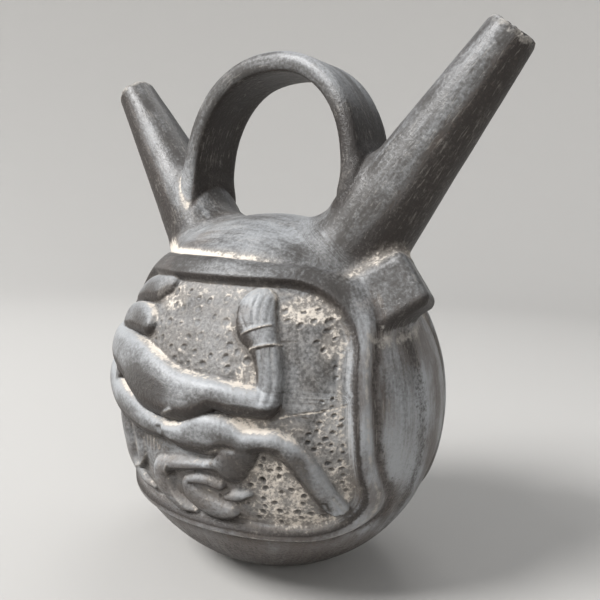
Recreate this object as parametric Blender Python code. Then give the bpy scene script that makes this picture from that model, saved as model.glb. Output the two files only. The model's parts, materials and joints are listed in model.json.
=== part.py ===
"""Double-spout bottle of burnished blackware, in metres with +Z up.

The vessel is one fired piece of clay: a hollow egg-shaped body on a flat foot, two hollow
conical spouts that lean apart, a strap handle arched between them, a stub lug under each
spout and a framed relief panel on the front and on the back.

The origin is the centre of the foot on the ground. The front panel faces -Y, and the
spouts and the handle stand in the XZ plane. What is made on the +X side or the front is
repeated by a half turn about Z.
"""

import math

import bmesh
import bpy
import numpy as np
from mathutils import Matrix, Vector

# Body
BODY_HALF_WIDTH = 0.0700
BODY_HALF_DEPTH = 0.0596
BODY_HALF_HEIGHT = 0.0697
FOOT_CUT = 0.0020
WALL = 0.0048
FLOOR = 0.0060

# Spouts
SPOUT_OFFSET = 0.0367
SPOUT_SINK = 0.0030
SPOUT_LENGTH = 0.0882
SPOUT_LEAN = math.radians(37.8)
SPOUT_FOOT_RADIUS = 0.0176
SPOUT_TIP_RADIUS = 0.0084
LIP_WALL = 0.0029
LIP_ROUNDING = 0.0024
SPOUT_JOIN = 0.0100
SPOUT_ROOT = 0.0120

# Strap handle, measured on the middle of its thickness
HANDLE_HALF_SPAN = 0.0400
HANDLE_SPRING = 0.0095
HANDLE_RISE = 0.0462
HANDLE_THICKNESS = 0.0078
HANDLE_WIDTH = 0.0245
HANDLE_FOOT_WIDTH = 0.0300
HANDLE_FLARE = 3
HANDLE_SQUARENESS = 2.25
HANDLE_FOOT_ANGLE = math.radians(117.0)
HANDLE_ROUNDING = 0.0030
HANDLE_JOIN = 0.0070

# Lugs
LUG_HEIGHT = 0.0205
LUG_WIDTH = 0.0170
LUG_PROUD = 0.0128
LUG_SINK = 0.0100
LUG_ROUNDING = 0.0034
LUG_JOIN = 0.0060
LUG_ANGLE = math.radians(36.5)
LUG_TURN = math.radians(20.0)
LUG_SHIFT = 0.0085

# Relief panel
PANEL_MARGIN = 0.0094
PANEL_RAISE = 0.0300
PANEL_HEIGHT = 0.0840
PANEL_LEAN = 0.12
RIDGE_TAPER = 0.5
PANEL_TOP_CORNER = 0.0240
PANEL_FOOT_CORNER = 0.0180
PANEL_FAR_CORNER = 0.0220
GROUND_DEPTH = 0.0028
RIDGE_HEIGHT = 0.0010
RIDGE_INNER_SLOPE = 0.0016
RIDGE_WIDTH_TOP = 0.0076
RIDGE_WIDTH_SIDE = 0.0036
RELIEF_FADE = (0.0010, 0.0035)

# Fineness of the mesh
CLAY_GRAIN = 0.0016
RELAXING_PASSES = 4
SETTLING_PASSES = 4
EGG_FINENESS = 5
CONE_SIDES = 40
ARCH_STEPS = 56
STRAP_STRIPS = 4
OUTER_TRIANGLES = 8200
VOID_FINENESS = 4
BORE_SIDES = 20
CUT_SLACK = 0.0050

# Worked out from the sizes above
BODY_CENTRE = BODY_HALF_HEIGHT - FOOT_CUT
BODY_TOP = BODY_CENTRE + BODY_HALF_HEIGHT
BODY_AXES = np.array((BODY_HALF_WIDTH, BODY_HALF_DEPTH, BODY_HALF_HEIGHT))
BODY_MIDDLE = np.array((0.0, 0.0, BODY_CENTRE))
SPOUT_AXIS = Vector((math.sin(SPOUT_LEAN), 0.0, math.cos(SPOUT_LEAN)))
PANEL_HALF_WIDTH = BODY_HALF_WIDTH - PANEL_MARGIN
PANEL_HALF_HEIGHT = PANEL_HEIGHT / 2
PANEL_CENTRE = PANEL_RAISE + PANEL_HALF_HEIGHT

# The sprawling figure, as limbs of raised clay. A limb is a height and a few points of its
# middle line, each with the limb's half width there. The points are counted in units of
# which PANEL_UNITS make the panel's half width, x to the right and z up from the panel's
# centre, so the figure keeps its pose on a panel of another size.
PANEL_UNITS = 60.6
MAIN_LIMBS = {
    "upper_limb": (
        4.6,
        ((-50, 14, 7), (-26, 11.3, 8.8), (-16, 8.2, 10.0), (-8, 5.4, 10.4), (2, 3.4, 9.1), (10, 3.0, 8.4),
         (16, 4.3, 6.6), (21, 5.5, 5.1), (30, 4.3, 5.3), (37, 4.0, 4.9)),
    ),
    "forearm": (
        3.6,
        ((38, 4.5, 4.3), (38.2, 10, 3.8), (36.4, 17, 3.9), (33.4, 23.2, 4.4), (29.6, 28.6, 6.0),
         (27.4, 34.6, 5.9)),
    ),
    "lower_limb": (
        3.6,
        ((-50, 1.5, 5.5), (-28, -4.9, 6.0), (-20, -6.6, 5.6), (-10, -8.8, 4.8), (0, -9.8, 3.4),
         (6, -11.2, 2)),
    ),
    "hip": (
        3.9,
        ((3.0, -9.0, 2.2), (6.5, -10.0, 3.8), (11, -10.2, 5.2), (18, -8.5, 7.4), (25, -7.6, 6.0),
         (31, -8.7, 4.1), (36, -8.3, 3.6), (40.5, -8.0, 3.8)),
    ),
    "stretched_leg": (
        3.6,
        ((40.5, -8.0, 3.8), (44.4, -10.8, 4.1), (47.9, -15.8, 3.9), (50.5, -22.2, 3.5), (52.2, -27.6, 3.2),
         (53.4, -31.8, 3.2)),
    ),
    "haunch": (3.7, ((33, -9.5, 4), (29.5, -14, 5.8), (26.8, -18.4, 5.8))),
    "folded_thigh": (2.8, ((23, -18.4, 2.4), (18, -19.2, 2.1), (10, -20.8, 2.1), (3, -22.2, 2.4))),
    "folded_knee": (
        2.8,
        ((2, -22.4, 2.4), (-3.4, -25.6, 4.0), (-4.6, -30.4, 4.3), (-2.6, -35, 3.6), (2.4, -38.4, 2.6),
         (8, -40.2, 1.8)),
    ),
    "folded_foot": (
        2.6,
        ((8.6, -28.4, 2.4), (9.8, -32.2, 3.8), (14, -35.8, 4.4), (19.5, -36.8, 4.0), (23, -36.4, 3.0)),
    ),
    "side_lobe": (3.0, ((-50, 22.5, 5.5), (-30, 25.5, 5.8), (-20, 25.3, 5.2), (-16.8, 24.0, 3.8))),
    "top_strip": (2.4, ((-48, 33, 5), (-30, 36.5, 5), (-20, 37.6, 5), (-14, 39.4, 4))),
}
FRONT_LIMBS = {
    "curled_hand": (2.8, ((8.6, -26.8, 1.5), (13, -25.4, 2.1), (17.5, -25.0, 2.3), (22, -26.2, 1.9))),
    "inner_finger": (2.6, ((-18, -11, 2.6), (-16.5, -20, 2.6), (-19, -28, 2.3))),
    "outer_finger": (2.6, ((-28, -12, 2.8), (-26.5, -21, 2.8), (-30, -28, 2.4))),
    "knob": (3.0, ((-33, 4, 3.4), (-33.5, 3, 3.4))),
}
LIMB_STEPS = 6
LIMB_ROUNDNESS = 2.4


def half_turn():
    return Matrix.Rotation(math.pi, 4, "Z")


def mesh_object(name, bm):
    mesh = bpy.data.meshes.new(name)
    bm.to_mesh(mesh)
    bm.free()
    made = bpy.data.objects.new(name, mesh)
    bpy.context.collection.objects.link(made)
    return made


def guide(name, bm):
    """An object that only shapes the vessel."""
    made = mesh_object(name, bm)
    made.hide_render = True
    made.display_type = "WIRE"
    return made


def body_height_at(x):
    """How high the body's surface stands over the spot x on its long axis."""
    return BODY_CENTRE + BODY_HALF_HEIGHT * math.sqrt(1 - (x / BODY_HALF_WIDTH) ** 2)


def spout_foot():
    return Vector((SPOUT_OFFSET, 0.0, body_height_at(SPOUT_OFFSET) - SPOUT_SINK))


def along_spout(distance):
    """The matrix that stands a shape on the +X spout's axis, at a distance from its foot."""
    turn = Matrix.Rotation(SPOUT_LEAN, 4, "Y")
    return Matrix.Translation(spout_foot() + SPOUT_AXIS * distance) @ turn


def cone_between(start, end, start_radius, end_radius, sides):
    """A capped cone on the +X spout's axis."""
    bm = bmesh.new()
    bmesh.ops.create_cone(
        bm,
        cap_ends=True,
        segments=sides,
        radius1=start_radius,
        radius2=end_radius,
        depth=end - start,
        matrix=along_spout((start + end) / 2),
    )
    return bm


def egg(half_width, half_depth, low, high, subdivisions):
    """An ellipsoid on the body's axis from one height to another."""
    bm = bmesh.new()
    half_height = (high - low) / 2
    stretch = Matrix.Diagonal((half_width, half_depth, half_height, 1))
    place = Matrix.Translation((0, 0, (low + high) / 2)) @ stretch
    bmesh.ops.create_icosphere(bm, subdivisions=subdivisions, radius=1, matrix=place)
    return bm


def signed_power(value, power):
    return math.copysign(abs(value) ** power, value)


def arch_point(share):
    """(x, z) on the handle's middle line, from its left foot at -1 to its right foot at 1."""
    angle = share * HANDLE_FOOT_ANGLE
    across = signed_power(math.sin(angle), 2 / HANDLE_SQUARENESS)
    up = signed_power(math.cos(angle), 2 / HANDLE_SQUARENESS)
    return HANDLE_HALF_SPAN * across, BODY_TOP + HANDLE_SPRING + HANDLE_RISE * up


def strap_half_width(share):
    """The strap is narrow over its top and spreads towards its feet."""
    return (HANDLE_WIDTH + (HANDLE_FOOT_WIDTH - HANDLE_WIDTH) * abs(share) ** HANDLE_FLARE) / 2


def handle_blank():
    """The strap: a strip of clay bent to a full, slightly squared arch that closes in at its feet."""
    bm = bmesh.new()
    bmesh.ops.create_grid(bm, x_segments=ARCH_STEPS, y_segments=STRAP_STRIPS, size=1)
    for vert in bm.verts:
        x, z = arch_point(vert.co.x)
        vert.co = (x, vert.co.y * strap_half_width(vert.co.x), z)
    bmesh.ops.recalc_face_normals(bm, faces=bm.faces)
    strap = guide("handle_blank", bm)
    thick = strap.modifiers.new("thickness", "SOLIDIFY")
    thick.thickness = HANDLE_THICKNESS
    thick.offset = 0
    thick.use_even_offset = True
    return strap


def lug_place():
    """The matrix of the +X lug's middle: out along the shoulder and turned a little to the front."""
    reach = 1 / math.hypot(math.cos(LUG_ANGLE) / BODY_HALF_WIDTH, math.sin(LUG_ANGLE) / BODY_HALF_HEIGHT)
    out = Matrix.Translation((reach + (LUG_PROUD - LUG_SINK) / 2, 0, 0)) @ Matrix.Rotation(LUG_TURN, 4, "Z")
    lean = Matrix.Rotation(-LUG_ANGLE, 4, "Y")
    return Matrix.Translation((0, -LUG_SHIFT, BODY_CENTRE)) @ lean @ out


def lug_blank(name, half_turned):
    """A square-ended stub that points out of the shoulder under the spout."""
    bm = bmesh.new()
    size = Matrix.Diagonal((LUG_PROUD + LUG_SINK, LUG_WIDTH, LUG_HEIGHT, 1))
    bmesh.ops.create_cube(bm, size=1, matrix=lug_place() @ size)
    return guide(name, turned(bm, half_turned))


def turned(bm, half_turned):
    if half_turned:
        bm.transform(half_turn())
    return bm


def outer_blank():
    """The whole outside of the vessel before the relief is pressed into it, with soft clay joins."""
    body = egg(BODY_HALF_WIDTH, BODY_HALF_DEPTH, -FOOT_CUT, BODY_TOP, EGG_FINENESS)
    blank = guide("outer_blank", body)
    pieces = [handle_blank()]
    for side, half_turned in (("right", False), ("left", True)):
        cone = cone_between(0, SPOUT_LENGTH, SPOUT_FOOT_RADIUS, SPOUT_TIP_RADIUS, CONE_SIDES)
        pieces.append(guide(f"{side}_spout_blank", turned(cone, half_turned)))
        pieces.append(lug_blank(f"{side}_lug_blank", half_turned))
    for piece in pieces:
        union = blank.modifiers.new(piece.name, "BOOLEAN")
        union.operation = "UNION"
        union.object = piece
    clay = blank.modifiers.new("clay", "REMESH")
    clay.mode = "VOXEL"
    clay.voxel_size = CLAY_GRAIN
    relax = blank.modifiers.new("relax", "SMOOTH")
    relax.factor = 0.5
    relax.iterations = RELAXING_PASSES
    return blank


def join(first, second, reach):
    """The distance to two shapes whose seam is filled with a soft fillet of clay."""
    overlap = np.maximum(reach - np.abs(first - second), 0) / reach
    return np.minimum(first, second) - overlap**2 * reach / 4


def rounded_box_distance(half_offsets, rounding):
    """The distance outside a box, from how far each offset passes its half size."""
    inner = half_offsets + rounding
    return np.linalg.norm(np.maximum(inner, 0), axis=1) + np.minimum(inner.max(axis=1), 0) - rounding


def egg_distance(points):
    local = (points - BODY_MIDDLE) / BODY_AXES
    near = np.linalg.norm(local, axis=1)
    return near * (near - 1) / np.linalg.norm(local / BODY_AXES, axis=1)


def spout_distance(points):
    rel = points - np.array(spout_foot())
    along = rel @ np.array(SPOUT_AXIS)
    out = np.linalg.norm(rel - along[:, None] * np.array(SPOUT_AXIS), axis=1)
    slope = (SPOUT_FOOT_RADIUS - SPOUT_TIP_RADIUS) / SPOUT_LENGTH
    side = (out - SPOUT_FOOT_RADIUS + slope * along) / math.hypot(1, slope)
    return np.maximum(-join(-side, SPOUT_LENGTH - along, LIP_ROUNDING), -SPOUT_ROOT - along)


def handle_distance(points):
    nearest = np.full(len(points), np.inf)
    share = np.zeros(len(points))
    steps = np.linspace(-1, 1, ARCH_STEPS + 1)
    for low, high in zip(steps, steps[1:]):
        start, end = np.array(arch_point(low)), np.array(arch_point(high))
        rel = points[:, [0, 2]] - start
        part = np.clip(rel @ (end - start) / ((end - start) @ (end - start)), 0, 1)
        away = np.linalg.norm(rel - part[:, None] * (end - start), axis=1)
        closer = away < nearest
        nearest[closer] = away[closer]
        share[closer] = (low + part * (high - low))[closer]
    thickness_off = nearest - HANDLE_THICKNESS / 2
    offsets = np.stack((thickness_off, np.abs(points[:, 1]) - strap_half_width(share)), axis=1)
    return rounded_box_distance(offsets, HANDLE_ROUNDING)


def lug_distance(points):
    back = np.array(lug_place().inverted())
    local = points @ back[:3, :3].T + back[:3, 3]
    half_size = np.array((LUG_PROUD + LUG_SINK, LUG_WIDTH, LUG_HEIGHT)) / 2
    return rounded_box_distance(np.abs(local) - half_size, LUG_ROUNDING)


def vessel_distance(points):
    """How far points lie outside the plain vessel, with its fillets and before its relief."""
    turned_points = points * (-1, -1, 1)
    distance = egg_distance(points)
    for seen in (points, turned_points):
        distance = join(distance, spout_distance(seen), SPOUT_JOIN)
    distance = join(distance, handle_distance(points), HANDLE_JOIN)
    for seen in (points, turned_points):
        distance = join(distance, lug_distance(seen), LUG_JOIN)
    return distance


def vertex_array(mesh):
    points = np.empty(len(mesh.vertices) * 3, np.float32)
    mesh.vertices.foreach_get("co", points)
    return points.reshape(-1, 3).astype(float)


def move_vertices(mesh, points):
    mesh.vertices.foreach_set("co", points.ravel().astype(np.float32))
    mesh.update()


def settle(mesh):
    """Moves the mesh along its own normals on to the vessel's true surface."""
    for _ in range(SETTLING_PASSES):
        points = vertex_array(mesh)
        normals = np.empty(len(mesh.vertices) * 3, np.float32)
        mesh.vertex_normals.foreach_get("vector", normals)
        move_vertices(mesh, points - normals.reshape(-1, 3) * vessel_distance(points)[:, None])


def smooth_line(points):
    """A limb's middle line and half widths, carried smoothly through its points."""
    given = np.array(points, float)
    ends = np.vstack((2 * given[0] - given[1], given, 2 * given[-1] - given[-2]))
    line = []
    for before, start, end, after in zip(ends, ends[1:], ends[2:], ends[3:]):
        for step in np.arange(LIMB_STEPS) / LIMB_STEPS:
            swing = (end - before) * step + (2 * before - 5 * start + 4 * end - after) * step**2
            line.append(start + (swing + (3 * (start - end) + after - before) * step**3) / 2)
    return np.array(line + [given[-1]])


def limb_height(x, z, height, points):
    """How high one limb stands at points of the panel: full in the middle, with a steep round edge."""
    line = smooth_line(points)
    top = np.zeros_like(x)
    for start, end in zip(line, line[1:]):
        run = end[:2] - start[:2]
        share = np.clip(((x - start[0]) * run[0] + (z - start[1]) * run[1]) / max(run @ run, 1e-9), 0, 1)
        away = np.hypot(x - start[0] - share * run[0], z - start[1] - share * run[1])
        half_width = start[2] + share * (end[2] - start[2])
        fullness = 1 - np.clip(away / half_width, 0, 1) ** LIMB_ROUNDNESS
        top = np.maximum(top, height * np.sqrt(fullness))
    return top


def smooth_step(value, start, end):
    share = np.clip((value - start) / (end - start), 0, 1)
    return share * share * (3 - 2 * share)


def frame_distance(x, z):
    """The distance outside the panel's rounded frame line, negative inside it."""
    foot_corner = np.where(x > 0, PANEL_FOOT_CORNER, PANEL_FAR_CORNER)
    corner = np.where(z > 0, PANEL_TOP_CORNER, foot_corner)
    narrowing = 1 + PANEL_LEAN * np.maximum(z, 0) / PANEL_HALF_HEIGHT
    over_x = np.abs(x) * narrowing - (PANEL_HALF_WIDTH - corner)
    over_z = np.abs(z) - (PANEL_HALF_HEIGHT - corner)
    outside = np.hypot(np.maximum(over_x, 0), np.maximum(over_z, 0))
    return outside + np.minimum(np.maximum(over_x, over_z), 0) - corner


def panel_relief(x, z, limbs):
    """How far the clay stands out of the plain egg at points of a panel, seen square on."""
    away = frame_distance(x, z)
    inside = 1 - smooth_step(away, -RIDGE_INNER_SLOPE, 0)
    level = smooth_step(z, PANEL_HALF_HEIGHT / 2, PANEL_HALF_HEIGHT)
    taper = 1 - RIDGE_TAPER * smooth_step(x, 0, 2 * PANEL_HALF_WIDTH / 3)
    ridge_width = RIDGE_WIDTH_SIDE + (RIDGE_WIDTH_TOP - RIDGE_WIDTH_SIDE) * level * taper
    rise = smooth_step(away, -RIDGE_INNER_SLOPE, RIDGE_INNER_SLOPE)
    ridge = RIDGE_HEIGHT * rise * (1 - smooth_step(away, ridge_width / 2, ridge_width))
    unit = PANEL_HALF_WIDTH / PANEL_UNITS
    figure = np.zeros_like(x)
    for height, points in limbs:
        figure = np.maximum(figure, unit * limb_height(x / unit, z / unit, height, points))
    return ridge + inside * (figure - GROUND_DEPTH)


def press_relief(mesh):
    """Moves the body's own surface out and in by the relief, and leaves spouts, handle and lugs alone."""
    points = vertex_array(mesh)
    local = (points - BODY_MIDDLE) / BODY_AXES
    reach = np.linalg.norm(local, axis=1)
    outward = local / BODY_AXES
    outward /= np.linalg.norm(outward, axis=1)[:, None]
    on_body = 1 - smooth_step(np.abs(reach - 1) * BODY_HALF_WIDTH, *RELIEF_FADE)
    front = points[:, 1] < 0
    height = np.zeros(len(points))
    main = list(MAIN_LIMBS.values())
    full = main + list(FRONT_LIMBS.values())
    for chosen, side, limbs in ((front, 1, full), (~front, -1, main)):
        height[chosen] = panel_relief(side * points[chosen, 0], points[chosen, 2] - PANEL_CENTRE, limbs)
    move_vertices(mesh, points + outward * (height * on_body)[:, None])


def void_cutters():
    """The hollow: the body's inside, a bore up each spout, and the plane of the foot."""
    half_width = BODY_HALF_WIDTH - WALL - GROUND_DEPTH / 2
    half_depth = BODY_HALF_DEPTH - WALL - GROUND_DEPTH
    inside = egg(half_width, half_depth, FLOOR, BODY_TOP - WALL, VOID_FINENESS)
    cutters = [guide("body_void", inside)]
    start = -(SPOUT_SINK + 2 * WALL)
    end = SPOUT_LENGTH + CUT_SLACK
    taper = (SPOUT_TIP_RADIUS - LIP_WALL - (SPOUT_FOOT_RADIUS - WALL)) / SPOUT_LENGTH
    radius_at = [SPOUT_FOOT_RADIUS - WALL + taper * distance for distance in (start, end)]
    for side, half_turned in (("right", False), ("left", True)):
        bore = cone_between(start, end, *radius_at, BORE_SIDES)
        cutters.append(guide(f"{side}_bore", turned(bore, half_turned)))
    depth = CUT_SLACK + FOOT_CUT
    slab = Matrix.Diagonal((2 * BODY_HALF_WIDTH, 2 * BODY_HALF_DEPTH, depth, 1))
    ground = bmesh.new()
    bmesh.ops.create_cube(ground, size=1, matrix=Matrix.Translation((0, 0, -depth / 2)) @ slab)
    cutters.append(guide("ground", ground))
    return cutters


def blackware():
    """Burnished clay, smoked grey-black in the firing."""
    material = bpy.data.materials.new("blackware")
    material.use_nodes = True
    shader = material.node_tree.nodes["Principled BSDF"]
    shader.inputs["Base Color"].default_value = (0.115, 0.112, 0.108, 1)
    shader.inputs["Roughness"].default_value = 0.48
    shader.inputs["Metallic"].default_value = 0.0
    return material


def make_bottle():
    blank = outer_blank()
    graph = bpy.context.evaluated_depsgraph_get()
    mesh = bpy.data.meshes.new_from_object(blank.evaluated_get(graph))
    mesh.name = "bottle"
    settle(mesh)
    press_relief(mesh)
    mesh.materials.clear()
    mesh.materials.append(blackware())
    bottle = bpy.data.objects.new("bottle", mesh)
    bpy.context.collection.objects.link(bottle)
    mesh.calc_loop_triangles()
    thin = bottle.modifiers.new("thin", "DECIMATE")
    thin.ratio = min(1, OUTER_TRIANGLES / len(mesh.loop_triangles))
    for cutter in void_cutters():
        cut = bottle.modifiers.new(cutter.name, "BOOLEAN")
        cut.operation = "DIFFERENCE"
        cut.object = cutter
    mesh.shade_smooth()
    return bottle


def main():
    for old in list(bpy.data.objects):
        bpy.data.objects.remove(old, do_unlink=True)
    make_bottle()


main()
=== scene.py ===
"""The looks of a double-spout bottle of burnished blackware: its clay, relief, finish, light and camera.

Sizes are in metres with +Z up. The origin is the centre of the foot on the ground, the front
relief panel faces -Y, and the spouts and the handle stand in the XZ plane. What is made on
the +X side or the front is repeated by a half turn about Z.
"""

import json
import math
from contextlib import contextmanager

import bmesh
import bpy
import numpy as np
from bpy.props import FloatProperty, FloatVectorProperty, IntProperty, PointerProperty
from mathutils import Matrix, Vector

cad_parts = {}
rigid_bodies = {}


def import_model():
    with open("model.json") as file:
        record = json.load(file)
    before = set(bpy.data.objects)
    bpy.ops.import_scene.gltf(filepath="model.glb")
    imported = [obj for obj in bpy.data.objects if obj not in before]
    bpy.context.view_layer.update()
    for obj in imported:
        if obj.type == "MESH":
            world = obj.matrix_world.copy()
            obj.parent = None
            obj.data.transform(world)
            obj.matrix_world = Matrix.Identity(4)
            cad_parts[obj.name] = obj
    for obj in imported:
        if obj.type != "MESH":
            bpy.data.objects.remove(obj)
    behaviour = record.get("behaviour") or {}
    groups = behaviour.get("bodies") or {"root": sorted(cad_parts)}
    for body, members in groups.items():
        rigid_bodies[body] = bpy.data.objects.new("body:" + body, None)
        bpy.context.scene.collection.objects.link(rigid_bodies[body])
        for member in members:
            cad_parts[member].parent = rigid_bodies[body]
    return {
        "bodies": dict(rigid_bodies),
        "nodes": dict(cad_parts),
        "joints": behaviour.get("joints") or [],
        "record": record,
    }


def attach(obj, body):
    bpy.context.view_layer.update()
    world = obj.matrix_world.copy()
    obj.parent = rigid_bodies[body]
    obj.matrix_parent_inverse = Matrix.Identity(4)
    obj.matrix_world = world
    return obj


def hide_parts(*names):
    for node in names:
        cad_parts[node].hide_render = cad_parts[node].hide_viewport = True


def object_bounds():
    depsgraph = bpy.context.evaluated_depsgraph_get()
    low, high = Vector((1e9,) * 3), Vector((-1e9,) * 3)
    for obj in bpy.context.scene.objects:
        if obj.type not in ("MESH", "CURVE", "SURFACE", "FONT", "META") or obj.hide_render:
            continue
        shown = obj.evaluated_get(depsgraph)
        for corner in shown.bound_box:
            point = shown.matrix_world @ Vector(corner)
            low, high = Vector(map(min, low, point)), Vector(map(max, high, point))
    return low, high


bl_info = {
    "name": "Double-spout bottle",
    "version": (1, 0, 0),
    "blender": (4, 5, 0),
    "location": "3D View > Sidebar > Bottle",
    "description": "Models a hollow blackware bottle with two spouts, a strap handle and relief panels",
    "category": "Add Mesh",
}

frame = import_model()
CAD_LOW, CAD_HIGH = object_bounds()

# The sprawling figure, as limbs of raised clay. A limb is a height and a few points of its
# middle line, each with the limb's half width there. The points are counted in units of
# which PANEL_UNITS make the panel's half width, x to the right and z up from the panel's
# centre, so the figure keeps its pose on a panel of another size.
PANEL_UNITS = 60.6
MAIN_LIMBS = {
    "upper_limb": (
        4.6,
        ((-50, 14, 7), (-26, 11.3, 8.8), (-16, 8.2, 10.0), (-8, 5.4, 10.4), (2, 3.4, 9.1), (10, 3.0, 8.4),
         (16, 4.3, 6.6), (21, 5.5, 5.1), (30, 4.3, 5.3), (37, 4.0, 4.9)),
    ),
    "forearm": (
        3.6,
        ((38, 4.5, 4.3), (38.2, 10, 3.8), (36.4, 17, 3.9), (33.4, 23.2, 4.4), (29.6, 28.6, 6.0),
         (27.4, 34.6, 5.9)),
    ),
    "lower_limb": (
        3.6,
        ((-50, 1.5, 5.5), (-28, -4.9, 6.0), (-20, -6.6, 5.6), (-10, -8.8, 4.8), (0, -9.8, 3.4),
         (6, -11.2, 2)),
    ),
    "hip": (
        3.9,
        ((3.0, -9.0, 2.2), (6.5, -10.0, 3.8), (11, -10.2, 5.2), (18, -8.5, 7.4), (25, -7.6, 6.0),
         (31, -8.7, 4.1), (36, -8.3, 3.6), (40.5, -8.0, 3.8)),
    ),
    "stretched_leg": (
        3.6,
        ((40.5, -8.0, 3.8), (44.4, -10.8, 4.1), (47.9, -15.8, 3.9), (50.5, -22.2, 3.5), (52.2, -27.6, 3.2),
         (53.4, -31.8, 3.2)),
    ),
    "haunch": (3.7, ((33, -9.5, 4), (29.5, -14, 5.8), (26.8, -18.4, 5.8))),
    "folded_thigh": (2.8, ((23, -18.4, 2.4), (18, -19.2, 2.1), (10, -20.8, 2.1), (3, -22.2, 2.4))),
    "folded_knee": (
        2.8,
        ((2, -22.4, 2.4), (-3.4, -25.6, 4.0), (-4.6, -30.4, 4.3), (-2.6, -35, 3.6), (2.4, -38.4, 2.4),
         (8, -40.2, 1.0)),
    ),
    "folded_foot": (
        2.6,
        ((8.6, -28.4, 2.4), (9.8, -32.2, 3.8), (14, -35.8, 4.4), (19.5, -36.8, 4.0), (23, -36.4, 3.0)),
    ),
    "side_lobe": (3.0, ((-50, 22.5, 5.5), (-30, 25.5, 5.8), (-20, 25.3, 5.2), (-16.8, 24.0, 3.8))),
    "top_strip": (2.4, ((-48, 33, 5), (-30, 36.5, 5), (-20, 37.6, 5), (-14, 39.4, 4))),
}
FRONT_LIMBS = {
    "curled_hand": (2.8, ((8.6, -26.8, 1.5), (13, -25.4, 2.1), (17.5, -25.0, 2.3), (22, -26.2, 1.9))),
    "tail_tip": (2.2, ((23.5, -30.8, 1.4), (27.4, -29.6, 2.1), (31, -28.2, 1.5))),
    "inner_finger": (1.7, ((-18, -11, 3.0), (-16.5, -20, 3.0), (-18, -27, 2.4), (-22, -31, 1.2))),
    "outer_finger": (
        2.0,
        ((-29, -12, 3.8), (-27.5, -21, 3.8), (-27.5, -29, 3.6), (-22, -35, 2.6), (-15, -38, 1)),
    ),
    "knob": (3.0, ((-33, 4, 3.4), (-33.5, 3, 3.4))),
}
# How the limbs are laid: the steps between two points of a line, the squareness of a limb's
# section, how far limbs run together at the most and at the least, and the half width under
# which a limb gets lower
LIMB_STEPS = 6
LIMB_ROUNDNESS = 2.4
LIMB_JOIN = 1.2
LIMB_LEAST_JOIN = 1e-6
LIMB_TAPER = 2.0

# Heights in the same units: how softly the frame starts to lean in, and between which its
# lower part turns into its upper part
LEAN_START = 8.0
UPPER_PART = (20, 40)

# The width of the groove's side against the ridge and of its outer side, in groove widths
GROOVE_SIDES = (0.7, 1.3)

# How strongly the tool marked the back's figure, as a share of the front's
BACK_MARKS = 0.6

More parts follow.
